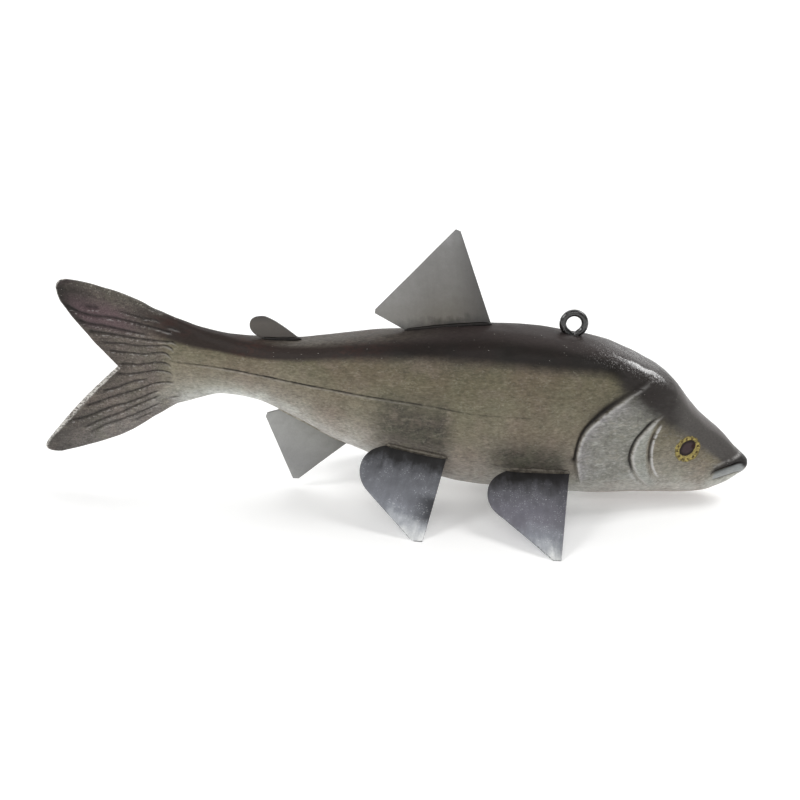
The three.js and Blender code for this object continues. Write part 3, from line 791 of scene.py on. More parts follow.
@dataclass(frozen=True)
class Mouth:
    """The cut of the mouth between two raised lips, with painted shadow under the upper lip."""

    line: Curve = Curve(
        (0, 0.197), (0.017, 0.218), (0.0303, 0.208), (0.0441, 0.192), (0.0539, 0.177),
        (0.0585, 0.155),
    )
    end: float = 0.0585
    ending: Pair = (0.002, -0.004)
    cut: Stroke = Stroke(0, 0.5)
    depth: Pair = (0.18, 0.6)
    deepens: Pair = (0, 0.017)
    rear: Pair = (0.02, 0.048)
    front_lip_shadow: Stroke = Stroke(0.7, 1.1)
    rear_lip_shadow: Stroke = Stroke(0.9, 1.6)
    lip_shadow_strength: float = 0.92
    snout: Pair = (0.019, 0.009)
    snout_span: Span = (-1.6, -0.6, 2.2, 3.4)
    lip_height: float = 0.5
    lip_starts: Pair = (0, 0.012)
    lip: Stroke = Stroke(1.9, 1.6)
    lower_lip: Span = (0.007, 0.015, 0.05, 0.056)
    lip_paint: Pair = (0, 0.55)
    shade_step: Pair = (-0.4, 0.2)
    shade_run: float = 2.2
    shade_strength: Pair = (0.75, 0.95)
    light: Stroke = Stroke(2.3, 0.5, 0.75)
    under_lip: Stroke = Stroke(-3.6, 0.45, 0.75)

    def marks(self, view: SideView) -> Fields:
        """What the mouth leaves at points of the side view.

        The upper lip is a bell, and the lower one half an ellipse: the root of 1 − distance².

        Args:
            view: the points.

        Returns:
            Its fields, as `Carving.relief` names them.
        """
        share, over = view.share, view.over(self.line)
        inside = smooth(self.end + self.ending[0], self.end + self.ending[1], share)
        rear = smooth(*self.rear, share)
        cut = self.cut.at(over)
        # Painted shadow under the upper lip, wider towards the corner of the mouth
        lip_shadow = self.front_lip_shadow.turned(self.rear_lip_shadow, rear).at(over)
        snout = smooth(*self.snout, share) * window(self.snout_span, over)
        lower_span = window(self.lower_lip, share)
        distance = (over + self.lip.off) / self.lip.width
        lower = lower_span * np.sqrt(np.clip(1 - distance ** 2, 0, 1))
        lips = self.lip_height * smooth(*self.lip_starts, share) * (self.lip.at(over) + lower)
        depth = mix(*self.depth, smooth(*self.deepens, share))
        # Painted shade over the mouth, under the upper lip, and in a line under the lower lip
        cut_shade = smooth(*self.shade_step, over) * fade(over, self.shade_run)
        cut_shade = cut_shade * mix(*self.shade_strength, rear)
        return {
            "out": inside * (lips - depth * cut),
            "dark": inside * np.maximum(cut, self.lip_shadow_strength * np.maximum(lip_shadow, snout)),
            "edge": inside * self.light.at(over),
            "shade": inside * np.maximum(cut_shade, lower_span * self.under_lip.at(over)),
            "lip": inside * smooth(*self.lip_paint, lower),
        }


@dataclass(frozen=True)
class LateralLine:
    """The fine cut along the flank, broken here and there, with a painted highlight below it."""

    line: Curve = Curve(
        (0.3, 0.545), (0.394, 0.563), (0.462, 0.603), (0.567, 0.647), (0.659, 0.692),
        (0.74, 0.732), (0.808, 0.75),
    )
    strength: Curve = Curve(
        (0.28, 0), (0.31, 0.25), (0.38, 0.35), (0.45, 0.6), (0.52, 0.8), (0.6, 1), (0.68, 1),
        (0.73, 0.8), (0.79, 0.5), (0.815, 0.3),
    )
    span: Span = (0.27, 0.31, 0.812, 0.816)
    cut: Stroke = Stroke(0, 0.27)
    depth: float = 0.32
    beats: Pair = (800, 330)
    breaks: Pair = (-0.5, 0.2)
    broken: float = 0.55
    darkness: float = 1.35
    light: Stroke = Stroke(-0.6, 0.3, 0.22)
    lit: Span = (0.4, 0.55, 0.76, 0.8)

    def marks(self, view: SideView) -> Fields:
        """What the line leaves at points of the side view.

        It is fainter where the product of two sines of the place is low.

        Args:
            view: the points.

        Returns:
            Its fields, as `Carving.relief` names them.
        """
        share, over = view.share, view.over(self.line)
        beat = np.sin(share * self.beats[0]) * np.sin(share * self.beats[1] + 1)
        cut = self.cut.at(over) * np.clip(self.strength(share), 0, 1) * window(self.span, share)
        cut = cut * mix(self.broken, 1, smooth(*self.breaks, beat))
        return {
            "out": -self.depth * cut,
            "dark": np.minimum(self.darkness * cut, 1),
            "edge": self.light.at(over) * window(self.lit, share),
        }


@dataclass(frozen=True)
class Groove:
    """A gouged line of the tail: its path, and how it starts and ends.

    A knot is a place along the body and a rise. The cut fades in over `lead` from its first
    knot, and out over `trail` before its last one, both as shares of the length.
    """

    path: Curve
    width: float = 0.42
    depth: float = 0.5
    lead: float = 0.006
    trail: float = 0.012
    overrun: float = 0.001
    widens: Pair = (0.84, 0.93)
    widths: Pair = (0.75, 1.25)
    tremble: float = 0.14
    beats: Pair = (700, 260)
    phases: Pair = (4000, 900)
    darkness: Pair = (0.6, 1.4)
    ridge_highlight: float = 0.42
    ridge_highlight_off: float = 1.6
    ridge_highlight_width: float = 0.3

    def marks(self, view: SideView) -> Fields:
        """What the line leaves at points of the side view.

        It is a bell across, wider towards the trailing edge, and a painted highlight runs below
        it, on the ridge beside the cut. Its strength trembles as the product of two sines of the
        place.

        Args:
            view: the points.

        Returns:
            Its fields, as `Carving.relief` names them.
        """
        share, form = view.share, view.form
        start, end = self.path.places[[0, -1]]
        ends = (start - self.overrun, start + self.lead, end - self.trail, end + self.overrun)
        step = 0.004
        climb = (self.path(share + step) - self.path(share - step)) * form.depth
        off = view.over(self.path) / np.hypot(1, climb / (2 * step * form.length))
        beat = np.sin(share * self.beats[0] + start * self.phases[0])
        beat = beat * np.sin(share * self.beats[1] + end * self.phases[1])
        width = self.width * mix(*self.widths, smooth(*self.widens, share))
        held = window(ends, share)
        cut = held * (1 - self.tremble + self.tremble * beat) * bell(off, width)
        return {
            "out": -self.depth * cut,
            "dark": mix(*self.darkness, self.depth) * cut,
            "edge": self.ridge_highlight * held * bell(off + width * self.ridge_highlight_off, self.ridge_highlight_width),
        }


TAIL_GROOVES = [
    Groove(Curve((0.8143, 0.715), (0.8209, 0.734), (0.8332, 0.741), (0.8484, 0.731),
        (0.8636, 0.721), (0.8745, 0.723), (0.8886, 0.719)), trail=0.004),
    Groove(Curve((0.814, 0.772), (0.8212, 0.794), (0.828, 0.801), (0.8384, 0.795), (0.8557, 0.785),
        (0.8728, 0.791), (0.8888, 0.795), (0.9069, 0.806))),
    Groove(Curve((0.8095, 0.813), (0.8151, 0.832), (0.823, 0.843), (0.8333, 0.84), (0.8471, 0.835),
        (0.8608, 0.835), (0.8835, 0.846), (0.9041, 0.846), (0.914, 0.858))),
    Groove(Curve((0.8063, 0.848), (0.8113, 0.865), (0.8216, 0.866), (0.833, 0.868),
        (0.8602, 0.877), (0.8761, 0.887), (0.901, 0.903), (0.9281, 0.915)), width=0.5, depth=0.55,
        trail=0.004),
    Groove(Curve((0.8394, 0.903), (0.8553, 0.906), (0.8801, 0.927), (0.9049, 0.947),
        (0.9274, 0.959), (0.9418, 0.98)), width=0.55, lead=0.02, trail=0.004),
    Groove(Curve((0.8108, 0.917), (0.8209, 0.926), (0.8322, 0.939), (0.8591, 0.966),
        (0.8726, 0.98), (0.8928, 0.997), (0.9176, 1.005), (0.9377, 1.025), (0.9584, 1.069)),
        width=0.5, trail=0.004),
    Groove(Curve((0.8283, 0.981), (0.8384, 0.993), (0.8497, 0.997), (0.872, 1.024),
        (0.8921, 1.044)), depth=0.4, trail=0.02),
    Groove(Curve((0.8015, 0.935), (0.8139, 0.946), (0.8229, 0.949)), depth=0.35, lead=0.008),
    Groove(Curve((0.91, 1.052), (0.9258, 1.06), (0.9371, 1.061)), width=0.6, depth=0.3),
    Groove(Curve((0.8243, 1.028), (0.8377, 1.046), (0.851, 1.07)), depth=0.3),
    Groove(Curve((0.8134, 0.672), (0.8187, 0.683), (0.8296, 0.691), (0.8407, 0.688),
        (0.8545, 0.677), (0.8684, 0.665), (0.8822, 0.66), (0.893, 0.661)), trail=0.004),
    Groove(Curve((0.8467, 0.638), (0.8606, 0.628), (0.8718, 0.615), (0.8831, 0.595),
        (0.8916, 0.579), (0.914, 0.552)), lead=0.01, trail=0.004),
    Groove(Curve((0.815, 0.648), (0.8177, 0.65), (0.8259, 0.655)), depth=0.3),
    Groove(Curve((0.8125, 0.619), (0.8221, 0.621), (0.8332, 0.617), (0.8444, 0.605),
        (0.8556, 0.586), (0.8697, 0.563), (0.8951, 0.527), (0.9207, 0.485), (0.9404, 0.455)),
        trail=0.006),
    Groove(Curve((0.8338, 0.567), (0.845, 0.55), (0.8592, 0.522), (0.8819, 0.482), (0.896, 0.466),
        (0.9131, 0.439), (0.9374, 0.394), (0.9658, 0.36)), trail=0.006),
    Groove(Curve((0.8327, 0.543), (0.837, 0.53), (0.8511, 0.504), (0.8796, 0.446), (0.8911, 0.42),
        (0.9139, 0.384), (0.9398, 0.331), (0.9484, 0.318)), depth=0.4),
    Groove(Curve((0.8347, 0.484), (0.8631, 0.429), (0.8746, 0.406), (0.8917, 0.377),
        (0.9145, 0.34), (0.9406, 0.281)), depth=0.4),
    Groove(Curve((0.8037, 0.533), (0.812, 0.532), (0.8232, 0.522)), depth=0.25),
    Groove(Curve((0.8436, 0.431), (0.8579, 0.405), (0.878, 0.359)), depth=0.3),
]


@dataclass(frozen=True)
class Carving:
    """All that the knife adds to the smooth form, with painted shade and highlights at its cuts."""

    gill: GillCover = GillCover()
    cheek: CheekCrescent = CheekCrescent()
    mouth: Mouth = Mouth()
    lateral: LateralLine = LateralLine()
    cover_ends: Pair = (1, -1)

    def relief(self, view: SideView) -> Fields:
        """What is carved at points of the side view.

        The reliefs are added together, and of any other field the largest value counts.

        Args:
            view: the points.

        Returns:
            Fields: out, the relief in millimetres; dark, painted shadow by the depth in a cut;
                edge, painted highlights on the raised edges; lip, the lower lip; cover and cheek,
                the plates of the head; shade, painted shade along the cuts; rim, the pale band
                inside the cover's edge.
        """
        names = ("out", "dark", "edge", "lip", "cover", "cheek", "shade", "rim")
        fields = {name: np.zeros(view.share.shape) for name in names}
        for cut in (self.gill, self.cheek, self.mouth, self.lateral, *TAIL_GROOVES):
            for name, values in cut.marks(view).items():
                join = np.add if name == "out" else np.maximum
                fields[name] = join(fields[name], values)
        fields["cover"] *= smooth(*self.cover_ends, view.ahead_of(self.cheek.back))
        return fields


@dataclass
class Spots:
    """Points of one side of the smooth body, and where each one lies.

    Heights run from −1 on the belly line to 1 on the back line, shares from the snout to the
    tail, and reaches from 0 at the tail's base to 1 at its trailing edge.
    """

    points: Array
    heights: Array
    shares: Array
    reaches: Array


@dataclass(frozen=True)
class Zone:
    """Where a paint lies: a stretch along the body, one up it and one into the tail."""

    along: tuple[float, ...] = ()
    up: tuple[float, ...] = ()
    into: tuple[float, ...] = ()
    strength: float = 1.0

    def at(self, spots: Spots) -> Array:
        """How much paint lies at the spots: the product of the three stretches."""
        share = stretch(self.along, spots.shares) * stretch(self.up, spots.heights)
        return self.strength * share * stretch(self.into, spots.reaches)


PAINT_ZONES = {
    "band": [Zone(up=(0.3, 0.7), into=(0.45, 1), strength=0.9),
             Zone(up=(-0.2, -0.8), into=(0.45, 1), strength=0.6),
             Zone(up=(-0.6, -0.3), into=(0.55, 0.95), strength=0.35)],
    "patch": [Zone(along=(0.414, 0.444, 0.5, 0.56), up=(-0.95, -0.75, 0, 0.46)),
              Zone(along=(0.254, 0.284, 0.34, 0.4), up=(-0.65, -0.45, -0.38, 0.08))],
    "face": [Zone(along=(0.17, 0.1))],
    # Painted sheen: a lighter band along the top of the head
    "brow": [Zone(along=(0.01, 0.03, 0.15, 0.19), up=(0.84, 0.97))],
    # Painted shade between the gill cover's top and the forehead, below the nape's ridge
    "cap": [Zone(along=(0.1, 0.13, 0.19, 0.21))],
    "nape": [Zone(along=(0.12, 0.15, 0.18, 0.27), up=(0.8, 0.9))],
    "gloss": [Zone(up=(0.9, 0.955, 0.985, 0.995))],
    # Painted sheen: the top of the back made lighter, where the varnish would reflect the room
    "painted_top_sheen": [Zone(up=(0.86, 0.96))],
    # A paler, patchy band along the ridge of the back, from the dorsal fin back
    "ridge": [Zone(along=(0.42, 0.54, 0.64, 0.74), up=(0.9, 0.985))],
    "faded": [Zone(along=(0.46, 0.62), into=(0.3, 0))],
    # Pale pink: a painted reflection along the bottom of the head, and a faint tint low on the
    # flank
    "pink_tint_and_reflection": [Zone(along=(0.26, 0.2), up=(-0.85, -0.93)),
               Zone(along=(0.34, 0.4, 0.58, 0.66), up=(-0.2, -0.65), strength=0.4)],
    "tail": [Zone(into=(0.02, 0.3)), Zone(along=(0.785, 0.83), up=(-0.45, -0.85))],
    "plum": [Zone(up=(0.42, 0.58, 0.76, 0.9), into=(0.25, 0.55, 0.85, 1))],
    "olive": [Zone(up=(0.9, 0.97), into=(0.05, 0.2, 0.8, 0.95))],
}


class BodyShader(Shader):
    """The body's shader, with the noises that several of its paints share."""

    def __init__(self, name: str) -> None:
        """Makes the noises, from fine to broad.

        Args:
            name: the material's name.
        """
        super().__init__(name)
        self.strokes = self.drawn_out(0.42)
        self.fine = self.noise(self.strokes, 0.6, 2)
        self.mottle = self.noise(self.strokes, 1.3, 4)
        self.cloud = self.noise(self.spot, 3.5, 3)
        self.broad = self.noise(self.spot, 26, 2)


@dataclass(frozen=True)
class CarvedPaint:
    """Airbrushed paint under satin varnish on carved wood.

    Each paint is a list of coats, one over the other: how much of a coat shows, and its colour.
    """

    # The palest greys, at the belly line, are painted light thrown up from the floor
    flank: tuple = (
        (0.0, "d2d3ce"), (0.08, "bfc0ba"), (0.2, "9b998f"), (0.35, "857f72"), (0.5, "7a7362"),
        (0.65, "706b58"), (0.8, "655f4c"), (1.0, "524c42"),
    )
    bronze: str = "695a4d"
    tail: str = "5f5753"
    cover: str = "8f928e"
    rim: str = "9a969b"
    cheek: str = "a2a5a0"
    patch: str = "423f38"
    silver: str = "b8b8b2"
    # Pale pink: painted reflection under the head, and a tint on the flank
    pewter: str = "62605a"
    pink_tint_and_reflection: str = "b9aca6"
    tan: str = "7d6959"
    rose: str = "8d7d74"
    moss: str = "6f705d"
    pale_dab: str = "9a9280"
    dark_dab: str = "4c483d"
    pale_fleck: str = "b3ae9e"
    dark_fleck: str = "2c2a22"
    back: str = "100b09"
    back_brown: str = "1d1210"
    # Painted sheen along the top of the back
    painted_top_sheen: str = "322b2a"
    faded: str = "2a211e"
    ridge: str = "59544d"
    rust: str = "3d231e"
    forehead: str = "524f4d"
    # Painted sheen along the top of the head
    brow: str = "7a7674"
    # Painted shade on the head
    cap: str = "322e2c"
    plum: str = "5c4a4e"
    olive: str = "55524a"
    lip: str = "989b9b"
    # Painted shade beside the cuts
    cut_shade: str = "241d1a"
    # Painted highlights on the raised edges of the cuts
    edge: str = "c4c2bf"
    # Painted shadow in the cuts
    groove: str = "15110f"
    bare: str = "cbc8c2"
    speck: str = "aaa79a"
    # Pale specks: dust, and on the dark back painted glints
    dust: str = "b9b6ae"
    # Painted glints on the nape
    painted_glint: str = "b9b5b4"
    ring: str = "b5a35c"
    ring_shade: str = "7d7144"
    ring_dot: str = "3d2c18"
    pupil: str = "20130f"
    pupil_light: str = "3f3033"
    pupil_red: str = "260806"
    eye_line: str = "33291b"
    eye: Pair = (102.4, 23.1)
    eye_radius: float = 4.85
    eye_beads: float = 12
    pupil_tilt: float = 40
    pupil_spot: Pair = (-0.02, 0.1)
    pupil_size: Pair = (0.67, 0.55)
    red_spot: Pair = (0.46, 0.2)

    def flank_paint(self, shader: BodyShader) -> Value:
        """The sides and belly: a run of greys from the belly up, with broken colour on it.

        Args:
            shader: the body's shader.

        Returns:
            The colour.
        """
        kept = shader.field
        fine, mottle, cloud, broad = shader.fine, shader.mottle, shader.cloud, shader.broad
        cover, face = kept("cover"), kept("face")
        plates = (cover + face * 0.6).clamped()
        streaks = shader.noise(shader.drawn_out(0.3), 0.9, 4)
        tint = shader.noise(shader.spot, 8, 3)
        dabs = shader.noise(shader.drawn_out(0.45), 1.6, 4)
        flecks = shader.noise(shader.drawn_out(0.6), 0.55, 2)
        flecked = cloud.over(0.4, 0.6)
        base = shader.coats(
            shader.ramp(kept("height") * 0.5 + 0.5, *self.flank),
            (broad.over(0.42, 0.62) * 0.4, self.bronze),
            (kept("tail") * 0.85, self.tail),
            (cover * 0.6, self.cover),
            (kept("rim") * 0.75, self.rim),
            (kept("cheek") * 0.75, self.cheek),
            (kept("patch") * (0.78 + cloud.over(0.35, 0.65) * 0.22), self.patch),
            (streaks.over(0.5, 0.68) * plates * 0.4, self.silver),
            (cloud.over(0.5, 0.66) * plates * 0.4, self.pewter),
            (kept("pink_tint_and_reflection") * 0.6, self.pink_tint_and_reflection),
            (face * broad.over(0.3, 0.6) * 0.3, self.tan),
            (tint.over(0.5, 0.68) * (1 - plates * 0.6) * 0.2, self.rose),
            ((1 - tint.over(0.34, 0.48)) * 0.2, self.moss),
            (dabs.over(0.54, 0.64) * 0.17, self.pale_dab),
            ((1 - dabs.over(0.36, 0.46)) * 0.18, self.dark_dab),
        )
        return shader.coats(
            shader.speckled(base, mottle * 0.5 + fine * 0.5, 1.3),
            (flecks.over(0.54, 0.66) * flecked * 0.16, self.pale_fleck),
            ((1 - flecks.over(0.3, 0.4)) * flecked * 0.25, self.dark_fleck),
        )

    def back_paint(self, shader: BodyShader) -> Value:
        """The dark back: blackish brown, paler and patchy on its ridge, and greyer on the head.

        Painted sheen lightens the top of the back and the top of the head.

        Args:
            shader: the body's shader.

        Returns:
            The colour.
        """
        kept = shader.field
        fine, mottle, broad = shader.fine, shader.mottle, shader.broad
        faded = kept("faded")
        # Patchy mask of the paler ridge band
        patchy = 0.35 + mottle.over(0.35, 0.6) * 0.4 + fine.over(0.4, 0.6) * 0.25
        return shader.coats(
            shader.blend(broad.over(0.45, 0.6) * 0.5, self.back, self.back_brown),
            (kept("painted_top_sheen"), self.painted_top_sheen),
            (faded, self.faded),
            (kept("ridge") * patchy, self.ridge),
            (broad.over(0.5, 0.6) * mottle.over(0.42, 0.6) * faded * 0.5, self.rust),
            (kept("face"), self.forehead),
            (kept("brow") * 0.7, self.brow),
        )

    def marked(self, shader: BodyShader, base: Value) -> Value:
        """Lays what is painted over both: the tail's tints, the lip, painted shade in and along the
        cuts, painted highlights on raised edges, and the bare trailing edge.

        Args:
            shader: the body's shader.
            base: the colour below.

        Returns:
            The colour.
        """
        kept = shader.field
        fine, mottle, cloud = shader.fine, shader.mottle, shader.cloud
        tail, olive = kept("tail"), kept("olive")
        edge_breaks = mottle.over(0.3, 0.55) * (1 - tail * (1 - fine.over(0.5, 0.62)))
        specks = shader.noise(shader.spot, 0.7, 2).over(0.56, 0.66)
        return shader.coats(
            base,
            # Painted shade on the head, mottled
            (kept("cap") * (0.55 + mottle.over(0.35, 0.6) * 0.35), self.cap),
            (kept("plum") * 0.75, self.plum),
            (olive * 0.55, self.olive),
            (kept("lip") * 0.92, self.lip),
            # Painted shade beside the cuts
            (kept("shade") * (0.6 + cloud * 0.6), self.cut_shade),
            # Painted highlights on the raised edges of the cuts, broken up
            (kept("edge") * edge_breaks * 0.85, self.edge),
            # Painted shadow: near black in the cuts, darker where they are deeper
            (kept("dark") * 0.95, self.groove),
            (kept("bare") * fine.over(0.36, 0.56) * 0.9, self.bare),
            (specks * olive * 0.45, self.speck),
        )

    def apply(self, piece: Piece) -> None:
        """Builds the material and gives it to the body.

        Args:
            piece: the body, whose mesh keeps the fields that are read here.
        """
        shader = BodyShader("carved_paint")
        mottle, cloud, spot = shader.mottle, shader.cloud, shader.spot
        band, nape, gloss = shader.field("band"), shader.field("nape"), shader.field("gloss")
        ragged = (band + (cloud + mottle - 1) * (band * (1 - band) * 1.6)).clamped()
        base = shader.blend(ragged * 0.97, self.flank_paint(shader), self.back_paint(shader))
        base = self.painted_eye(shader, self.marked(shader, base))
        grain = (shader.noise(spot, 0.5, 3) - 0.5) * shader.field("tail") + 0.5
        base = shader.speckled(shader.speckled(base, shader.fine, 0.6), grain, 1.6)
        # Pale specks: dust all over, and painted glints on the dark back, where the band raises
        # them
        dust = shader.noise(shader.strokes, 0.5, 1).over(0.72, 0.78) * cloud.over(0.5, 0.6)
        # Painted glints: pale specks laid on the nape where its varnish would catch the lamp
        painted_glint = shader.noise(spot, 0.45, 1).over(0.56, 0.66) * nape * cloud.over(0.3, 0.55)
        base = shader.coats(
            base,
            (dust * (band * 0.5 + 0.12), self.dust),
            (painted_glint * (1 - gloss) * 0.5, self.painted_glint),
        )
        glitter = shader.noise(spot, 0.55, 2).over(0.5, 0.62)
        peel = shader.noise(spot, 0.7, 2) * nape + shader.noise(spot, 0.45, 2) * 0.08
        relief = shader.bump(mottle, 0.03, shader.bump(cloud, 0.05))
        piece.data.materials.append(shader.finish(
            Base_Color=base, Roughness=0.55 - nape * 0.3 + (mottle - 0.5) * 0.25 * (1 - gloss),
            Normal=shader.bump(peel * (1 - gloss * 0.7), 0.45, relief),
            Coat_Weight=(nape * glitter * 0.7 + gloss + 0.07).clamped(),
            Coat_Roughness=0.12, Specular_IOR_Level=0.22,
        ))

    def painted_eye(self, shader: Shader, base: Value) -> Value:
        """Paints a round eye on both sides: a dotted ring round a tilted, oval pupil.

        Distances are in radii of the eye, and its edges waver with a noise.

        Args:
            shader: the body's shader.
            base: the colour round it.

        Returns:
            The colour with the eye in it.
        """
        across = (shader.x - self.eye[0]) * (1 / self.eye_radius)
        tall = (shader.z - self.eye[1]) * (1 / self.eye_radius)
        wave = shader.noise(shader.vector(across, tall, 0.0), 0.35, 2) - 0.5
        reach = shader.length(across, tall) + wave * 0.2
        turn = shader.node("ShaderNodeMath", {"operation": "ARCTAN2"}, {0: tall, 1: across})
        beads = shader.node(
            "ShaderNodeMath", {"operation": "SINE"}, {0: turn * self.eye_beads + wave * 11})
        dots = beads.over(0.2, 0.8) * reach.over(0.64, 0.74) * (1 - reach.over(0.82, 0.95))
        patchy = shader.noise(shader.vector(across, tall, 2.0), 0.16).over(0.35, 0.65)
        ring = shader.coats(
            shader.blend(patchy, self.ring, self.ring_shade), (dots * 0.85, self.ring_dot))
        tilt = math.radians(self.pupil_tilt)
        right, up = across - self.pupil_spot[0], tall - self.pupil_spot[1]
        long = (right * math.cos(tilt) + up * math.sin(tilt)) * (1 / self.pupil_size[0])
        short = (up * math.cos(tilt) - right * math.sin(tilt)) * (1 / self.pupil_size[1])
        inner = shader.length(long, short) + wave * 0.25
        red = shader.length(across - self.red_spot[0], tall - self.red_spot[1])
        pupil = shader.coats(
            shader.blend(inner.over(0.5, 0.85), self.pupil_light, self.pupil),
            (1 - red.over(0.12, 0.28), self.pupil_red))
        eye = shader.coats(
            pupil, (inner.over(0.92, 1.06), ring),
            (reach.over(0.86, 0.97) * wave.over(-0.12, 0.05) * 0.7, self.eye_line))
        return shader.blend(1 - reach.over(0.93, 1.04), base, eye)


def around(side: Array) -> Array:
    """Repeats one side's values on the other side: from belly to back, and down again."""
    return np.concatenate([side, side[:, -2:0:-1]], axis=1)


@dataclass
class CarvedBody:
    """The wooden body with its carved head, lateral line and forked tail."""

    form: Form
    carving: Carving = Carving()
    finish: CarvedPaint = CarvedPaint()
    half_rows: int = 66
    crowding: float = 0.45
    shoulder: float = 0.32
    tail_turns: float = 0.62
    band_line: Curve = Curve(
        (0, -0.3), (0.03, -0.05), (0.06, 0.3), (0.09, 0.4), (0.12, 0.4), (0.15, 0.5),
        (0.18, 0.64), (0.21, 0.74), (0.24, 0.74), (0.3, 0.7), (0.4, 0.7), (0.46, 0.74),
        (0.54, 0.74), (0.58, 0.73), (0.62, 0.7), (0.66, 0.62), (0.7, 0.54), (0.74, 0.51),
        (0.8, 0.5), (0.9, 0.6),
    )
    band_softness: Pair = (0.14, 0.075)
    band_sharpens: Pair = (0.1, 0.25)
    band_fades: Pair = (0, 0.5)
    band_loss: float = 0.75
    tone_shift: Curve = Curve(
        (0, -0.2), (0.2, -0.2), (0.28, -0.08), (0.36, -0.04), (0.4, 0.08), (0.5, 0.04),
        (0.56, -0.06), (0.64, -0.14), (0.67, -0.2), (0.72, -0.04), (0.8, 0.06),
    )
    tone_starts: Pair = (-0.9, -0.4)
    gloss: Stroke = Stroke(0.166, 0.02)
    head_shade_corner: float = 0.135
    head_shade_slope: float = 3
    head_shade_step: Pair = (0.4, 0.58)
    head_shade_top: Pair = (0.9, 0.8)
    lower_wear: Pair = (0.075, 0.014)
    wear_narrows: Pair = (0.5, 0.92)
    upper_wear: float = 0.012
    upper_wear_share: float = 0.6
    worn_through: float = 0.4
    edge_thinning: float = 0.45
    rim: tuple = ((0.9, 0.12), (0.65, 0.22), (0.3, 0.28), (0, 0.3))
    rim_darkness: float = 0.4
    unevenness: float = 0.1
    fine_unevenness: float = 0.035

    def heights(self, share: Array, rows: Array) -> Array:
        """Where each row runs on the body: even angles, closer together near the middle row.

        The middle row follows the mouth, then the lateral line. In front of the tail the rows
        turn into those of the tail.

        Args:
            share: places along the body.
            rows: −1 on the belly, 1 on the back.

        Returns:
            The height of `Form.point`.
        """
        form, carving = self.form, self.carving
        on_mouth = np.clip(share, 0.0017, 0.0571)
        on_line = np.clip(share, 0.3, form.tail_base)
        mouth = form.height_at(on_mouth, form.up(carving.mouth.line(on_mouth)))
        line = form.height_at(on_line, form.up(carving.lateral.line(on_line)))
        middle = np.arcsin(mix(mouth, line, smooth(carving.mouth.end, 0.3, share)))
        size = np.abs(rows)
        part = self.crowding * size + (1 - self.crowding) * size ** 3
        even = np.sin(mix(middle, np.sign(rows) * np.pi / 2, part))
        return mix(even, rows, smooth(self.tail_turns, form.tail_base, share))

    def share_on(self, line: Curve, rows: Array) -> Array:
        """Finds where rows meet an upright carved line, by halving.

        Args:
            line: the line's place for a rise.
            rows: the rows.

        Returns:
            The share of the length for each row.
        """
        front = np.full(rows.shape, 0.05)
        rear = np.full(rows.shape, 0.5)
        for _ in range(40):
            share = (front + rear) / 2
            point = self.form.point(share, self.heights(share, rows))
            ahead = self.form.along(line(self.form.rise_of(point[..., 2]))) < point[..., 0]
            front = np.where(ahead, share, front)
            rear = np.where(ahead, rear, share)
        return (front + rear) / 2

    def shares(self, rows: Array) -> Array:
        """The rings of the body: closest together along the carved lines.

        Args:
            rows: the rows.

        Returns:
            The place of each ring on each row.
        """
        form, cheek, gill = self.form, self.carving.cheek, self.carving.gill
        nose = form.nose_round / form.length
        turns = np.linspace(0, np.pi / 2, 11)
        stops = [
            np.full(rows.shape, nose), self.share_on(cheek.front, rows),
            self.share_on(cheek.back, rows), self.share_on(gill.line, rows),
            np.full(rows.shape, self.shoulder), np.full(rows.shape, form.tail_base),
        ]
        steps = [
            spaced((0.9, 46), (1, 12)), spaced((0.3, 9), (0.7, 8), (1, 9)),
            spaced((0.08, 6), (0.9, 30), (1, 10)), spaced((0.1, 9), (1, 34)), spaced((1, 98)),
        ]
        parts = [nose * (1 - np.cos(turns))[:, None] + np.zeros(rows.shape)]
        for start, end, step in zip(stops, stops[1:], steps):
            parts.append(mix(start, end, step[:, None]))
        return np.concatenate(parts)

    def smooth_grid(self) -> Spots:
        """One side of the smooth body and tail.

        Returns:
            Its points, and where they lie.
        """
        form = self.form
        rows = np.linspace(-1, 1, 2 * self.half_rows + 1)
        share = self.shares(rows)
        height = self.heights(share, rows)
        reach = spaced((0.1, 12), (0.9, 46), (1, 8))[:, None]
        tail = form.tail_point(reach, rows)
        return Spots(
            points=np.concatenate([form.point(share, height), tail]),
            heights=np.concatenate([height, np.broadcast_to(rows, tail.shape[:2])]),
            shares=np.concatenate([share, form.share_of(tail[..., 0])]),
            reaches=np.concatenate([np.zeros(share.shape), np.broadcast_to(reach, tail.shape[:2])]),
        )

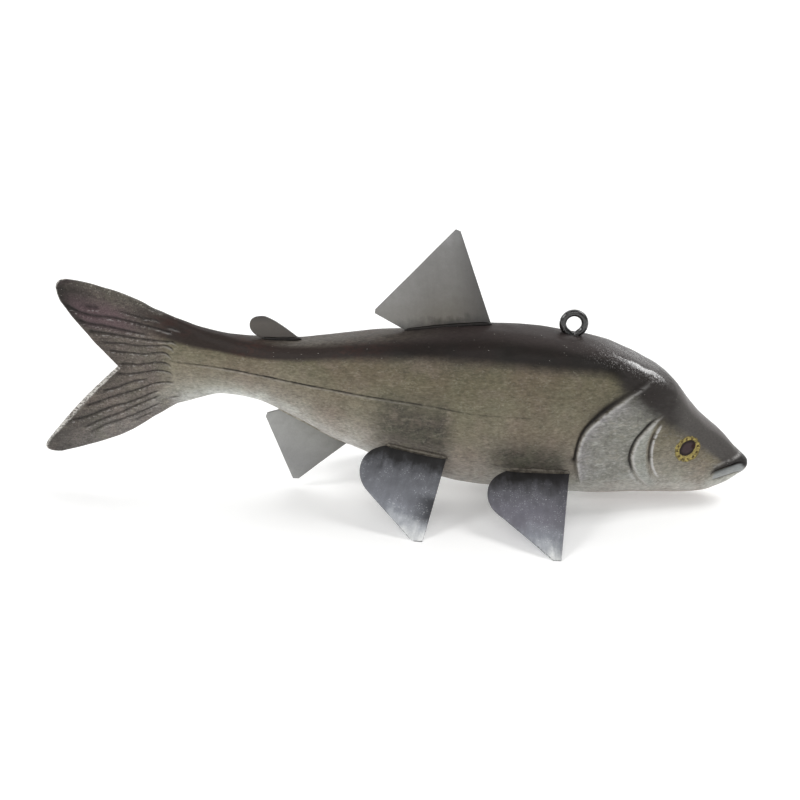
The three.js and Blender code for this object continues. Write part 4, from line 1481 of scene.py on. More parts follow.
    def paint_fields(self, spots: Spots) -> Fields:
        """Where each paint goes, as values at the spots.

        Each is the largest of its zones. The band is also the smooth step over its line, the
        painted shade on the head lies over a slanted line, the gloss is a bell along the body, and
        the trailing edge is rubbed bare, most on the lower lobe.

        Args:
            spots: one side of the smooth body.

        Returns:
            Named fields from 0 to 1, and the height.
        """
        shares, heights = spots.shares, spots.heights
        fields = {
            name: np.maximum.reduce([zone.at(spots) for zone in zones])
            for name, zones in PAINT_ZONES.items()
        }
        soft = mix(*self.band_softness, smooth(*self.band_sharpens, shares))
        band = smooth(-1, 1, (heights - self.band_line(shares)) / soft)
        band = band * (1 - self.band_loss * smooth(*self.band_fades, spots.reaches))
        fields["band"] = np.maximum(fields["band"], band)
        shift = self.tone_shift(shares)
        shift = np.where(shift > 0, shift * smooth(*self.tone_starts, heights), shift)
        fields["height"] = heights + shift
        fields["gloss"] *= self.gloss.at(shares)
        rise = self.form.rise_of(spots.points[..., 2])
        slant = rise - self.head_shade_slope * (shares - self.head_shade_corner)
        fields["cap"] *= smooth(*self.head_shade_step, slant) * smooth(*self.head_shade_top, rise)
        lower = heights < 0
        narrow = smooth(*self.wear_narrows, -heights)
        wide = np.where(lower, mix(*self.lower_wear, narrow), self.upper_wear)
        wear = smooth(1 - wide, 1 - wide * self.worn_through, spots.reaches)
        fields["bare"] = wear * np.where(lower, 1, self.upper_wear_share)
        return fields

    def carved(self, both: Array, out: Array) -> Array:
        """Moves the smooth body's points along its normals, by the carving and an uneven wave.

        A normal is the cross product of the ways round the body and along it. Behind the last
        ring come others that close the trailing edge: narrower, and farther along the tail.

        Args:
            both: the rings of the smooth body, all round.
            out: the carved relief.

        Returns:
            The rings, none of which crosses the middle plane.
        """
        round_it = np.roll(both, -1, axis=1) - np.roll(both, 1, axis=1)
        normal = np.cross(round_it, np.gradient(both, axis=0))
        normal /= np.maximum(np.linalg.norm(normal, axis=-1, keepdims=True), 1e-9)
        moved_by = out + self.unevenness * ripple(both, 16, 1)
        moved_by += self.fine_unevenness * ripple(both, 5, 2)
        moved_by[0] = 0
        carved = both + normal * moved_by[..., None]
        kept = np.maximum(np.abs(carved[..., 1]), np.abs(both[..., 1]) / 2)
        carved[..., 1] = np.sign(both[..., 1]) * kept
        carved[:, [0, 2 * self.half_rows], 1] = 0
        way = carved[-1] - carved[-2]
        way[:, 1] = 0
        way /= np.linalg.norm(way, axis=-1, keepdims=True)
        rings = [carved[-1] * (1, narrow, 1) + way * on for narrow, on in self.rim]
        return np.concatenate([carved, rings])

    def build(self) -> Piece:
        """Builds the body: a smooth grid, moved along its own normals by the carving.

        Returns:
            The body.
        """
        spots = self.smooth_grid()
        relief = self.carving.relief(SideView(self.form, spots.points))
        out = around(relief.pop("out"))
        sides = {**self.paint_fields(spots), **relief}
        fields = {name: around(values) for name, values in sides.items()}
        both = around(spots.points)
        both[:, :2 * self.half_rows + 1, 1] *= Side.RIGHT.value
        both[..., 1] *= 1 - self.edge_thinning * fields["bare"]
        carved = self.carved(both, out)
        count = len(self.rim)
        for name, values in fields.items():
            fields[name] = np.concatenate([values, np.repeat(values[-1:], count, axis=0)])
        fields["bare"][-count:] = 1
        fields["dark"][-count:] *= self.rim_darkness
        piece = painted_piece("body_carving", carved, self.finish, fields)
        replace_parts(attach(piece, "root"), "body")
        return piece


# Sheet-metal fins


@dataclass
class Frame:
    """Where a fin stands: along its root, out along the fin, and across its sheet."""

    origin: Array
    forward: Array
    outward: Array

    @property
    def across(self) -> Array:
        """The direction through the sheet."""
        return np.cross(self.forward, self.outward)

    def place(self, points: Array) -> Array:
        """Puts points that are given along, out and across into their place."""
        return self.origin + points @ np.stack([self.forward, self.outward, self.across])


def unit(vector: Array) -> Array:
    """The same direction with a length of 1."""
    return vector / np.linalg.norm(vector)


def bend(start: tuple, over: tuple, end: tuple, steps: int = 14) -> Array:
    """Points of the curve (1 − t)² start + 2 t (1 − t) over + t² end, without its start."""
    t = np.linspace(0, 1, steps + 1)[1:, None]
    return (1 - t) ** 2 * np.array(start) + 2 * t * (1 - t) * np.array(over) + t * t * np.array(end)


def finely(outline: Array, step: float) -> Array:
    """Divides the sides of a closed outline, and keeps its corners.

    Args:
        outline: its corners, along and out.
        step: the longest side that is left.

    Returns:
        The finer outline.
    """
    parts = []
    for start, end in zip(outline, np.roll(outline, -1, axis=0)):
        count = max(int(np.linalg.norm(end - start) / step), 1)
        parts.append(start + (end - start) * (np.arange(count) / count)[:, None])
    return np.concatenate(parts)


@dataclass(frozen=True)
class SheetPaint:
    """Satin paint on sheet metal, shaded from the root to the tip of a fin."""

    name: str
    stops: tuple[tuple[float, str], ...]
    front: str
    front_share: float = 0.4
    streaks: float = 0.3
    specks: float = 0.0
    blotches: float = 0.3
    rear_share: float = 0.0
    front_zone: Span = (-1, -0.5, 2, 3)
    rear: str = "b2b2b1"
    speck: str = "d5d7da"
    rim: str = "3b3b3c"

    def apply(self, piece: Piece) -> None:
        """Builds the material and gives it to a fin.

        Args:
            piece: the fin, whose mesh keeps its own span and place along the root.
        """
        shader = Shader(self.name)
        span, front = shader.field("span"), shader.field("front")
        along, out = shader.field("along"), shader.field("out")
        brushed = shader.noise(shader.vector(along, out * 0.12, 0.0), 1.6, 4)
        cloud = shader.noise(shader.vector(along, out * 0.6, shader.z), 4, 4)
        fine = shader.noise(shader.spot, 0.6, 2)
        level = span + (brushed - 0.5) * self.streaks * 0.4 + (cloud - 0.5) * self.blotches
        zone = span.over(*self.front_zone[:2]) * (1 - span.over(*self.front_zone[2:]))
        dust = shader.noise(shader.spot, 0.45, 1).over(0.6, 0.72) * cloud.over(0.42, 0.62)
        base = shader.coats(
            shader.ramp(level.clamped(), *self.stops),
            (front.over(0.6, 1.0) * zone * self.front_share, self.front),
            ((1 - front).over(0.4, 0.95) * self.rear_share, self.rear),
        )
        base = shader.speckled(base, brushed * 0.4 + fine * 0.6, self.streaks)
        base = shader.coats(
            shader.speckled(base, cloud, self.blotches),
            (dust * span.over(0.08, 0.3) * self.specks, self.speck),
            (shader.field("rim") * fine.over(0.35, 0.6) * 0.7, self.rim),
        )
        piece.data.materials.append(shader.finish(
            Base_Color=base, Roughness=0.42 + (cloud - 0.5) * 0.25,
            Normal=shader.bump(fine, 0.012, shader.bump(brushed, 0.02)),
            Coat_Weight=0.2, Coat_Roughness=0.25,
        ))


@dataclass
class SheetFin:
    """A flat fin cut from sheet metal, its edges rounded a little by filing."""

    name: str
    node: str
    slot: str
    finish: SheetPaint
    outline: Array
    frame: Frame
    span: float
    sheet: float = 0.8
    round_over: float = 0.18
    buckle: float = 0.18
    buckle_length: float = 26
    buckled: Span = (0, 0.5, 0.7, 1)
    step: float = 0.7

    def grid(self) -> tuple[Array, Array]:
        """The flat fin as a grid: its outline, drawn in to its centre on both faces.

        A ring is the outline, moved in and then scaled towards the centre, and the rim between
        the faces is a quarter circle on each side. The outline runs anticlockwise, so the way
        in is the mean way of the two sides that meet, turned to the left.

        Returns:
            The rings' points along, out and across, and 1 for each ring that lies on the rim.
        """
        outline = finely(self.outline, self.step)
        before = outline - np.roll(outline, 1, axis=0)
        after = np.roll(outline, -1, axis=0) - outline
        way = before / np.linalg.norm(before, axis=1, keepdims=True)
        way += after / np.linalg.norm(after, axis=1, keepdims=True)
        inset = np.stack([-way[:, 1], way[:, 0]], -1)
        inset *= self.round_over / np.linalg.norm(inset, axis=1, keepdims=True)
        turns = np.linspace(0, np.pi / 2, 4)[1:]
        scales = [0.0, *spaced((0.9, 9), (1, 3))]
        face = [mix(outline.mean(axis=0), outline + inset, scale) for scale in scales]
        rim = [outline + inset * (1 - np.sin(turn)) for turn in turns]
        drop = np.concatenate([np.zeros(len(face)), self.round_over * (1 - np.cos(turns))])
        level = self.sheet / 2 - drop
        on_rim = np.repeat([0.0, 1.0], [len(face), len(rim)])
        flat = np.array(face + rim + rim[::-1] + face[::-1])
        across = np.concatenate([level, -level[::-1]])[:, None, None]
        local = np.concatenate([flat, np.broadcast_to(across, (*flat.shape[:2], 1))], -1)
        return local, np.concatenate([on_rim, on_rim[::-1]])

    def build(self) -> Piece:
        """Builds the fin, a little buckled between its root and its tip.

        Returns:
            The fin.
        """
        local, on_rim = self.grid()
        along, out = local[..., 0], local[..., 1]
        wave = ripple(local * (1, 1, 0), self.buckle_length, 5)
        local[..., 2] += self.buckle * window(self.buckled, out / self.span) * wave
        points = self.frame.place(local)
        points[..., 2] = np.maximum(points[..., 2], 0)
        rear, front = self.outline[:, 0].min(), self.outline[:, 0].max()
        fields = {
            "span": np.clip(out / self.span, 0, 1),
            "out": out,
            "along": along,
            "front": np.clip((along - rear) / (front - rear), 0, 1),
            "rim": np.broadcast_to(on_rim[:, None], out.shape),
        }
        piece = painted_piece(self.name, points, self.finish, fields)
        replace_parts(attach(piece, "root"), self.node)
        return piece


@dataclass(frozen=True)
class FillerPaint:
    """Paint over the filler that closes the saw cut at a fin's root."""

    name: str
    light: str
    dark: str

    def apply(self, piece: Piece) -> None:
        """Builds the material and gives it to a bead.

        Args:
            piece: the bead of filler.
        """
        shader = Shader(self.name)
        blots = shader.noise(shader.spot, 2.2, 4)
        base = shader.blend(blots.over(0.35, 0.65), self.dark, self.light)
        piece.data.materials.append(shader.finish(
            Base_Color=shader.speckled(base, shader.noise(shader.spot, 0.6, 2), 0.4),
            Roughness=0.45 + (blots - 0.5) * 0.2,
            Normal=shader.bump(shader.noise(shader.spot, 0.9, 3), 0.06),
            Coat_Weight=0.12, Coat_Roughness=0.25, Specular_IOR_Level=0.3,
        ))


@dataclass
class FillerBead:
    """A thin mound of filler along a fin's root, which closes its saw cut."""

    name: str
    finish: FillerPaint
    path: Array
    frame: Frame
    wide: float = 1.15
    tall: float = 0.8
    lift: float = 0.25
    unevenness: float = 0.05
    steps: int = 24

    def build(self) -> Piece:
        """Builds the mound: a squared ellipse across the sheet, carried along the root.

        The ellipse is the root of |cos| and |sin|, with their signs. Its size follows the root of
        1 − (2 t − 1)⁸, and is uneven as worked by hand.

        Returns:
            The bead.
        """
        t = np.linspace(0, 1, len(self.path))
        swell = np.sqrt(np.maximum(1 - (2 * t - 1) ** 8, 0))
        swell = swell * (1 + self.unevenness * ripple(self.path, 7, 8))
        turn = np.linspace(0, 2 * np.pi, self.steps, endpoint=False)
        cos, sin = [np.sign(v) * np.sqrt(np.abs(v)) for v in (np.cos(turn), np.sin(turn))]
        side = cos[None, :, None] * self.frame.across * self.wide
        out = (sin[None, :, None] * self.tall + self.lift) * self.frame.outward
        points = self.path[:, None, :] + (side + out) * swell[:, None, None]
        piece = painted_piece(self.name, points, self.finish)
        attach(piece, "root")
        return piece


DARK_FILLER = FillerPaint("back_filler_paint", "1f1a17", "100c0a")
GREY_FILLER = FillerPaint("flank_filler_paint", "6f695f", "433e37")
PALE_FILLER = FillerPaint("belly_filler_paint", "a6a195", "7d776b")

# Darker at the root: painted shade where the fin meets the back
DORSAL_PAINT = SheetPaint(
    "dorsal_paint",
    ((0.0, "33302b"), (0.05, "48443c"), (0.13, "67635b"), (0.4, "716f6b"), (0.8, "7e7d7b"),
     (1.0, "8f8f8e")),
    "3b3938", 0.8, blotches=0.22, rear_share=0.3,
)
ADIPOSE_PAINT = SheetPaint(
    "adipose_paint", ((0.0, "322d2a"), (0.15, "4c4640"), (0.7, "4f4943"), (1.0, "3c3733")),
    "423d39", 0.3,
)
ANAL_PAINT = SheetPaint(
    "anal_paint", ((0.0, "84847f"), (0.3, "8f8f8c"), (0.7, "8c8c8b"), (1.0, "969694")),
    "64635f", 0.55, rear_share=0.3,
)
# Black paint at the root, paling to the tip; the near-white stops at the tip are painted reflection
PAIRED_PAINT = SheetPaint(
    "paired_paint",
    ((0.0, "1a1818"), (0.1, "2a292a"), (0.28, "5c5c62"), (0.45, "6d6c75"), (0.6, "73727b"),
     (0.75, "878a92"), (0.88, "aaadb2"), (1.0, "e2e4e3")),
    "2f2e34", 0.45, 0.4, 0.5,
)
# Painted light: a lighter run of greys for the pelvic fins, which stand in more shade
PELVIC_PAINT_LIGHTENED = SheetPaint(
    "pelvic_paint_lightened",
    ((0.0, "181616"), (0.1, "262526"), (0.25, "606166"), (0.45, "75777d"), (0.6, "7c7e85"),
     (0.7, "8c8f96"), (0.8, "b3b6bb"), (0.9, "d3d5d6"), (1.0, "f3f4f3")),
    "222226", 0.9, 0.4, 0.5, front_zone=(0.4, 0.53, 0.7, 0.85),
)


@dataclass
class MiddleFin:
    """A fin that stands on the back or under the belly, in the middle plane."""

    name: str
    edge: Edge
    finish: SheetPaint
    filler: FillerPaint
    slot: str
    place: float
    base: float
    height: float
    outline: Callable[["MiddleFin"], Array]
    top_back: float = 0.0
    tip_back: float = 0.0
    tip_height: float = 0.0
    blunt: float = 0.0
    lean: float = 0.0
    tab: float = 5.0
    bead_longer: float = 0.8
    bead_sunk: float = 0.12

    def foot(self, form: Form, x: Array) -> Array:
        """The height of the outline that the fin stands on."""
        curve = form.back if self.edge is Edge.BACK else form.belly
        return form.up(curve(form.share_of(x)))

    def frame(self, form: Form) -> Frame:
        """The middle of the fin's base, and the base's slope.

        Args:
            form: the body that it stands on.

        Returns:
            The fin's frame.
        """
        x = form.along(self.place) + np.array([self.base, -self.base]) / 2
        front, rear = [np.array([a, 0.0, b]) for a, b in zip(x, self.foot(form, x))]
        forward = unit(front - rear)
        outward = np.array([-forward[2], 0.0, forward[0]]) * self.edge.value
        return Frame((front + rear) / 2, forward, outward)

    def build(self, form: Form) -> list[Piece]:
        """Builds the fin and the filler at its root.

        Args:
            form: the body that it stands on.

        Returns:
            Both pieces.
        """
        frame = self.frame(form)
        fin = SheetFin(f"{self.name}_sheet", self.name, self.slot, self.finish,
                       self.outline(self), frame, self.height)
        x = form.along(self.place) + np.linspace(0.5, -0.5, 60) * (self.base + self.bead_longer)
        path = np.stack([x, np.zeros(x.shape), self.foot(form, x)], -1)
        path = path - frame.outward * self.bead_sunk
        bead = FillerBead(f"{self.name}_filler", self.filler, path, frame)
        return [fin.build(), bead.build()]


def blade(fin: MiddleFin) -> Array:
    """A four-sided fin with blunted corners.

    Args:
        fin: its sizes.

    Returns:
        Its outline, forward from the middle of the base and out from it.
    """
    half = fin.base / 2
    top = np.array([half - fin.top_back, fin.height - fin.blunt / 2])
    tip = np.array([-half - fin.tip_back, fin.tip_height])
    slant = unit(np.array([half - fin.top_back, fin.height]) - tip)
    return np.array([
        (half, -fin.tab), (half, 0), top, top + (-fin.blunt, fin.blunt / 2),
        tip + slant * fin.blunt / 2, tip + (fin.blunt / 4, -fin.blunt / 2), (-half, 0),
        (-half, -fin.tab),
    ])


def lobe(fin: MiddleFin) -> Array:
    """A small rounded fin that leans back over its base.

    Args:
        fin: its sizes.

    Returns:
        Its outline, forward from the middle of the base and out from it.
    """
    half = fin.base / 2
    rear = -half - fin.tip_back
    return np.concatenate([
        [(half, -fin.tab), (half, 0)],
        bend((half, 0), (-fin.lean * 0.6, fin.height), (-fin.lean, fin.height)),
        bend((-fin.lean, fin.height), (rear, fin.height), (rear, fin.tip_height)),
        bend((rear, fin.tip_height), (rear, fin.tip_height * 0.4), (-half, 0)),
        [(-half, -fin.tab)],
    ])


@dataclass
class PairedFin:
    """A pair of fins that stand down and out to the ground."""

    name: str
    place: float
    rise: float
    tilt: float
    root: float
    spread: float
    tip_back: float
    tip: float
    lobe: float
    lobe_out: float
    shoulder: float
    shoulder_out: float
    tab: float = 5.0
    finish: SheetPaint = PAIRED_PAINT
    filler: FillerPaint = GREY_FILLER
    bead_longer: float = 1.0
    bead_wide: float = 1.9
    bead_tall: float = 0.5
    root_search: Pair = (-4.0, 6.0)

    def frame(self, form: Form, side: Side) -> Frame:
        """The fin's root on the body, and its slope to the foot on the ground.

        Args:
            form: the body.
            side: which of the pair.

        Returns:
            The fin's frame.
        """
        x, z = form.along(self.place), form.up(self.rise)
        slope = math.radians(self.tilt)
        reach = np.array([math.cos(slope), math.sin(slope)]) * self.root / 2
        front = form.surface_at(x + reach[0], z + reach[1]) * (1, side.value, 1)
        rear = form.surface_at(x - reach[0], z - reach[1]) * (1, side.value, 1)
        forward = unit(front - rear)
        origin = (front + rear) / 2
        foot = np.array([x, side.value * self.spread, 0.0]) - origin
        outward = unit(foot - forward * (foot @ forward))
        return Frame(origin, forward, outward)

    def outline(self, span: float) -> Array:
        """Straight in front, blunt at the tip, with a rounded lobe behind the root.

        Args:
            span: from the root to the ground.

        Returns:
            The outline, forward from the middle of the root and out from it.
        """
        half = self.root / 2
        front = half - self.tip_back
        rear = -half - self.lobe
        shoulder = (-half - self.shoulder, self.shoulder_out)
        high = mix(self.lobe_out, self.shoulder_out, 0.6)
        return np.concatenate([
            [(half, -self.tab), (half, 0), (front, span), (front - self.tip, span), shoulder],
            bend(shoulder, (rear, high), (rear, self.lobe_out)),
            bend((rear, self.lobe_out), (rear, self.lobe_out * 0.3), (-half, 0)),
            [(-half, -self.tab)],
        ])

    def root_path(self, form: Form, frame: Frame) -> Array:
        """Where the sheet leaves the wood, found by halving along the sheet.

        Args:
            form: the body.
            frame: the fin's frame.

        Returns:
            Points from the front of the root to its rear.
        """
        along = np.linspace(0.5, -0.5, 50) * (self.root + self.bead_longer)
        start = frame.origin + along[:, None] * frame.forward
        inner, outer = [np.full(along.shape, reach) for reach in self.root_search]
        for _ in range(30):
            middle = (inner + outer) / 2
            point = start + middle[:, None] * frame.outward
            wide = form.surface_at(point[:, 0], point[:, 2])[:, 1]
            inside = np.abs(point[:, 1]) < wide
            inner = np.where(inside, middle, inner)
            outer = np.where(inside, outer, middle)
        return start + inner[:, None] * frame.outward

    def build(self, form: Form) -> list[Piece]:
        """Builds both fins and the filler at their roots.

        Args:
            form: the body.

        Returns:
            The four pieces.
        """
        pieces = []
        for side in Side:
            frame = self.frame(form, side)
            hand = side.name.lower()
            span = -frame.origin[2] / frame.outward[2]
            node = f"{self.name}_{hand}"
            fin = SheetFin(f"{self.name}_sheet_{hand}", node, "dark_fin_sheet", self.finish,
                           self.outline(span), frame, span)
            bead = FillerBead(f"{self.name}_filler_{hand}", self.filler,
                              self.root_path(form, frame), frame, self.bead_wide, self.bead_tall)
            pieces += [fin.build(), bead.build()]
        return pieces


# The screw eye


@dataclass(frozen=True)
class WirePaint:
    """Thick black paint on bent wire."""

    black: str = "080707"
    thin: str = "151413"
    glint: str = "6d6a67"

    def apply(self, piece: Piece) -> None:
        """Builds the material and gives it to the wire.

        Args:
            piece: the wire.
        """
        shader = Shader("black_wire_paint")
        lumps = shader.noise(shader.spot, 1.2, 3)
        fine = shader.noise(shader.spot, 0.35, 2)
        base = shader.blend(lumps.over(0.4, 0.7), self.black, self.thin)
        base = shader.blend(fine.over(0.6, 0.7) * 0.55, base, self.glint)
        piece.data.materials.append(shader.finish(
            Base_Color=base, Roughness=0.2 + fine * 0.15,
            Normal=shader.bump(fine, 0.1, shader.bump(lumps, 0.16)),
            Coat_Weight=1.0, Coat_Roughness=0.04,
        ))


@dataclass
class ScrewEye:
    """A bent wire ring on a shank that is screwed into the nape, in millimetres."""

    form: Form
    finish: WirePaint = WirePaint()
    wire: float = 2.5
    ring: float = 10.2
    place: float = 0.2615
    rise: float = 4.0
    point: float = 1.3
    shank: float = 14.0
    shank_tip: float = 3.0
    shank_end: float = 0.4
    end_rings: tuple = ((0.85, 0.35), (0.5, 0.6), (0.0, 0.7))

    def path(self) -> Array:
        """The wire's middle line: up the shank, once round the ring, and back to the shank.

        The ring is a circle, drawn out along two tangents to a point below.

        Returns:
            Points in the middle plane, across and up from the ring's centre.
        """
        radius = (self.ring - self.wire) / 2
        contact = math.acos(1 / self.point)
        turn = np.linspace(0.0, 2 * np.pi, 121)[:-4]
        angle = np.minimum(turn, 2 * np.pi - turn)
        reach = np.where(angle < contact, radius / np.cos(contact - angle), radius)
        loop = np.stack([-np.sin(turn) * reach, -np.cos(turn) * reach], -1)
        low = -radius * self.point
        up_shank = np.linspace(low - self.shank, low - self.shank_end, 24)
        stem = np.stack([np.zeros(up_shank.shape), up_shank], -1)
        return np.concatenate([stem, loop[1:]])

    def build(self) -> Piece:
        """Builds the wire: a circle carried along its middle line, closed at both ends.

        Returns:
            The screw eye.
        """
        path = self.path()
        way = np.gradient(path, axis=0)
        way /= np.linalg.norm(way, axis=1, keepdims=True)
        run = np.concatenate([[0], np.cumsum(np.linalg.norm(np.diff(path, axis=0), axis=1))])
        radius = self.wire / 2 * np.clip(run / self.shank_tip, 0.02, 1)[:, None]
        turn = np.linspace(0, 2 * np.pi, 20, endpoint=False)
        side = radius * np.cos(turn)
        points = np.stack([
            path[:, :1] - way[:, 1:] * side, radius * np.sin(turn), path[:, 1:] + way[:, :1] * side,
        ], -1)
        tip = np.broadcast_to(points[:1].mean(axis=1, keepdims=True), points[:1].shape)
        middle, ahead = [np.array([across, 0, up]) for across, up in (path[-1], way[-1])]
        rounded = [
            middle + (points[-1:] - middle) * narrow + ahead * on for narrow, on in self.end_rings
        ]
        points = np.concatenate([tip, points, *rounded])
        z = self.form.up(self.form.back(self.place)) + self.rise
        points = points + (self.form.along(self.place), 0, z)
        piece = painted_piece("screw_eye_wire", points, self.finish)
        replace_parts(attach(piece, "root"), "screw_eye")
        return piece


@dataclass
class PaintCollar:
    """The low ring of wood and paint that is pushed up round the screw eye."""

    form: Form
    finish: FillerPaint = DARK_FILLER
    place: float = 0.2615
    radius: float = 1.9
    thick: float = 0.55
    flatness: float = 0.7
    unevenness: float = 0.25

    def build(self) -> Piece:
        """Builds the ring: a small uneven ellipse carried round the shank, on the nape's slope.

        Returns:
            The collar.
        """
        turn = np.linspace(0, 2 * np.pi, 60, endpoint=False)
        outward = np.stack([np.cos(turn), np.sin(turn), np.zeros(turn.shape)], -1)
        path = outward * self.radius + (self.form.along(self.place), 0, 0)
        path[:, 2] = self.form.up(self.form.back(self.form.share_of(path[:, 0])))
        size = self.thick * (1 + self.unevenness * ripple(path, 2.5, 4))
        about = np.linspace(0, 2 * np.pi, 12, endpoint=False)[None, :, None]
        way = np.cos(about) * outward[:, None] + np.sin(about) * (0, 0, self.flatness)
        points = path[:, None] + way * size[:, None, None]
        points = np.concatenate([points, points[:1]])
        piece = painted_piece("screw_eye_collar", points, self.finish)
        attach(piece, "root")
        return piece


# The studio


@dataclass(frozen=True)
class Lamp:
    """A soft rectangular lamp: its place and size in millimetres, and its power in watts."""

    name: str
    spot: tuple[float, float, float]
    size: Pair
    power: float
    aim: tuple[float, float, float] = (0, 0, 30)

    def hang(self) -> None:
        """Adds the lamp, turned towards its aim."""
        lamp = bpy.data.lights.new(self.name, "AREA")
        lamp.shape = "RECTANGLE"
        lamp.size, lamp.size_y = self.size[0] * MM, self.size[1] * MM
        lamp.energy = self.power
        holder = bpy.data.objects.new(self.name, lamp)
        holder.location = Vector(self.spot) * MM
        way = Vector(self.aim) * MM - holder.location
        holder.rotation_euler = way.to_track_quat("-Z", "Y").to_euler()
        bpy.context.scene.collection.objects.link(holder)


@dataclass
class Studio:
    """A pale floor that sweeps up behind the fish, soft lights and the camera."""

    elevation: float = 22.0
    distance: float = 480.0
    roll: float = 1.3
    look: tuple[float, float, float] = (0.574, 0.0, 34.9)
    focal_pixels: float = 1344.2
    picture: float = 800.0
    sensor: float = 36.0
    clip: Pair = (0.01, 20)
    floor_front: float = -2500.0
    floor_half: float = 3000.0
    sweep_start: float = 1300.0
    sweep_radius: float = 500.0
    wall_top: float = 3000.0
    paper: tuple[str, str] = ("f2f2f1", "f6f6f6")
    paper_glow: float = 0.2
    room_light: float = 0.25
    room_seen: float = 1.0
    lamps: tuple[Lamp, ...] = (
        Lamp("lamp_right", (880, 220, 950), (420, 520), 7),
        Lamp("lamp_left", (-1040, -360, 690), (420, 520), 7),
        Lamp("back_wash", (0, 1300, 1700), (2600, 1200), 14, (0, 1500, 0)),
        Lamp("front_fill", (0, -1400, 1100), (1600, 900), 7.5),
    )

    def floor(self) -> None:
        """Builds the floor: flat, then a quarter circle up to an upright wall."""
        radius = self.sweep_radius
        turn = np.linspace(0, np.pi / 2, 24)
        y = self.sweep_start + np.concatenate([[0.0], radius * np.sin(turn), [radius]])
        y[0] = self.floor_front
        z = np.concatenate([[0.0], radius * (1 - np.cos(turn)), [self.wall_top]])
        x = np.linspace(-self.floor_half, self.floor_half, 3)
        points = np.stack([np.repeat(x, len(y)), np.tile(y, 3), np.tile(z, 3)], -1)
        number = np.arange(len(points)).reshape(3, -1)
        quads = np.stack([number[:-1, :-1], number[1:, :-1], number[1:, 1:], number[:-1, 1:]], -1)
        mesh = bpy.data.meshes.new("floor")
        mesh.from_pydata((points * MM).tolist(), [], quads.reshape(-1, 4).tolist())
        mesh.shade_smooth()
        floor = bpy.data.objects.new("floor", mesh)
        bpy.context.scene.collection.objects.link(floor)
        shader = Shader("floor_paper")
        mesh.materials.append(shader.finish(
            Base_Color=shader.blend(shader.noise(shader.spot, 40, 2), *self.paper), Roughness=0.55,
            Emission_Color=(1, 1, 1, 1), Emission_Strength=self.paper_glow,
        ))

    def room(self) -> None:
        """Sets up the room, which looks white past the floor but lights the fish dimly."""
        world = bpy.data.worlds.new("room")
        world.use_nodes = True
        tree = world.node_tree
        dim, pale = tree.nodes["Background"], tree.nodes.new("ShaderNodeBackground")
        for shell, strength in ((dim, self.room_light), (pale, self.room_seen)):
            shell.inputs["Color"].default_value = (1, 1, 1, 1)
            shell.inputs["Strength"].default_value = strength
        seen = tree.nodes.new("ShaderNodeLightPath").outputs["Is Camera Ray"]
        both = tree.nodes.new("ShaderNodeMixShader")
        for number, socket in enumerate((seen, dim.outputs[0], pale.outputs[0])):
            tree.links.new(socket, both.inputs[number])
        tree.links.new(both.outputs[0], tree.nodes["World Output"].inputs["Surface"])
        bpy.context.scene.world = world

    def camera(self) -> None:
        """Sets up the camera at the photograph's angle, turned a little about its own axis."""
        tilt, roll = math.radians(self.elevation), math.radians(self.roll)
        ahead = Vector((0, math.cos(tilt), -math.sin(tilt)))
        right = Vector((1, 0, 0))
        up = right.cross(ahead)
        spot = (Vector(self.look) - ahead * self.distance) * MM
        picture_right = right * math.cos(roll) + up * math.sin(roll)
        picture_up = up * math.cos(roll) - right * math.sin(roll)
        turn = Matrix((picture_right, picture_up, -ahead)).transposed()
        lens = bpy.data.cameras.new("camera")
        lens.sensor_width = self.sensor
        lens.lens = self.sensor * self.focal_pixels / self.picture
        lens.clip_start, lens.clip_end = self.clip
        holder = bpy.data.objects.new("camera", lens)
        holder.matrix_world = Matrix.Translation(spot) @ turn.to_4x4()
        bpy.context.scene.collection.objects.link(holder)
        bpy.context.scene.camera = holder

    def build(self) -> None:
        """Sets up the floor, the lamps, the room, the camera and plain display colours."""
        self.floor()
        for lamp in self.lamps:
            lamp.hang()
        self.room()
        self.camera()
        bpy.context.scene.view_settings.view_transform = "Standard"


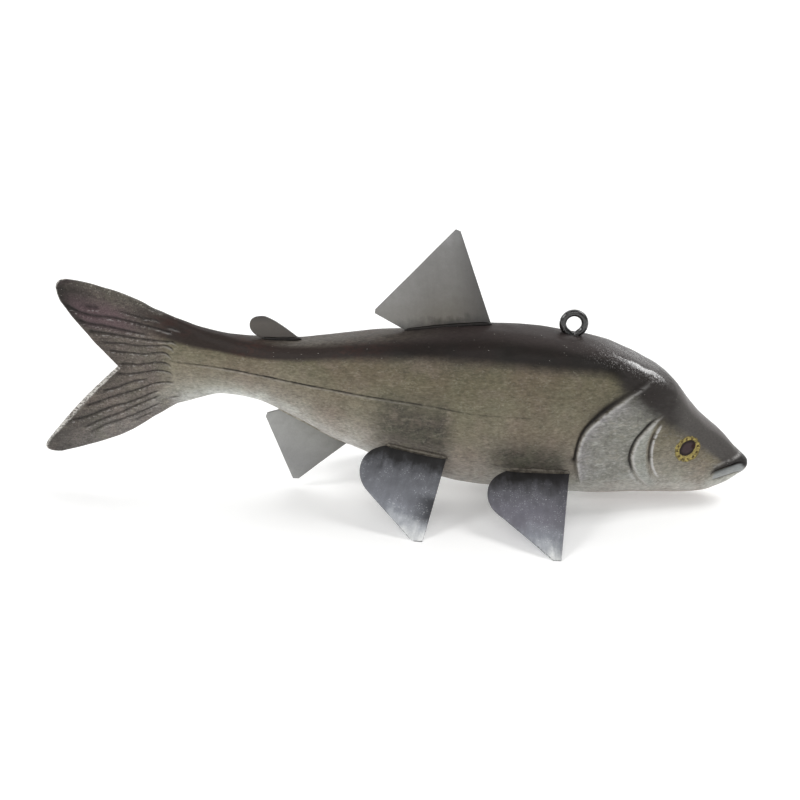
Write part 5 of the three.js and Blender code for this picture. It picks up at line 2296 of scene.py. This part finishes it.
@dataclass
class Decoy:
    """The whole decoy."""

    form: Form = field(default_factory=Form)

    def middle_fins(self) -> list[MiddleFin]:
        """The three fins in the middle plane.

        Returns:
            The dorsal, adipose and anal fins.
        """
        dorsal = MiddleFin(
            "dorsal_fin", Edge.BACK, DORSAL_PAINT, DARK_FILLER, "fin_sheet", place=0.4338,
            base=30.1, height=34.8, outline=blade, top_back=8.8, tip_back=10.5, tip_height=7.7,
            blunt=1.6, tab=6,
        )
        adipose = MiddleFin(
            "adipose_fin", Edge.BACK, ADIPOSE_PAINT, DARK_FILLER, "fin_sheet", place=0.6628,
            base=13.2, height=8.3, outline=lobe, lean=6.5, tip_back=4.6, tip_height=4.9, tab=4,
        )
        anal = MiddleFin(
            "anal_fin", Edge.BELLY, ANAL_PAINT, PALE_FILLER, "pale_fin_sheet", place=0.6166,
            base=26.9, height=22.7, outline=blade, top_back=9.2, tip_back=4.5, tip_height=4.9,
            blunt=1.9,
        )
        return [dorsal, adipose, anal]

    def paired_fins(self) -> list[PairedFin]:
        """The two pairs of fins that it stands on.

        Returns:
            The pectoral and pelvic pairs.
        """
        pectoral = PairedFin(
            "pectoral_fin", place=0.3037, rise=0.2073, tilt=-0.8, root=21.7, spread=52.5,
            tip_back=4.9, tip=2.6, lobe=7.3, lobe_out=11.6, shoulder=2.2, shoulder_out=21.5,
        )
        pelvic = PairedFin(
            "pelvic_fin", place=0.473, rise=0.3056, tilt=-8.4, root=21.3, spread=39.8,
            tip_back=1.6, tip=2.8, lobe=7.4, lobe_out=9.6, shoulder=3.0, shoulder_out=18.4,
            finish=PELVIC_PAINT_LIGHTENED,
        )
        return [pectoral, pelvic]

    def build(self) -> None:
        """Builds every piece and reports it."""
        pieces = [CarvedBody(self.form).build()]
        for fin in self.middle_fins() + self.paired_fins():
            pieces += fin.build(self.form)
        pieces.append(ScrewEye(self.form).build())
        pieces.append(PaintCollar(self.form).build())
        for piece in pieces:
            LOG.info("%s: %d faces", piece.name, len(piece.data.polygons))


def main() -> None:
    """Builds the decoy and its studio."""
    logging.basicConfig(level=logging.INFO, format="%(message)s")
    LOG.info("frame with %d nodes", len(frame["nodes"]))
    Decoy().build()
    Studio().build()


if __name__ == "__main__":
    main()
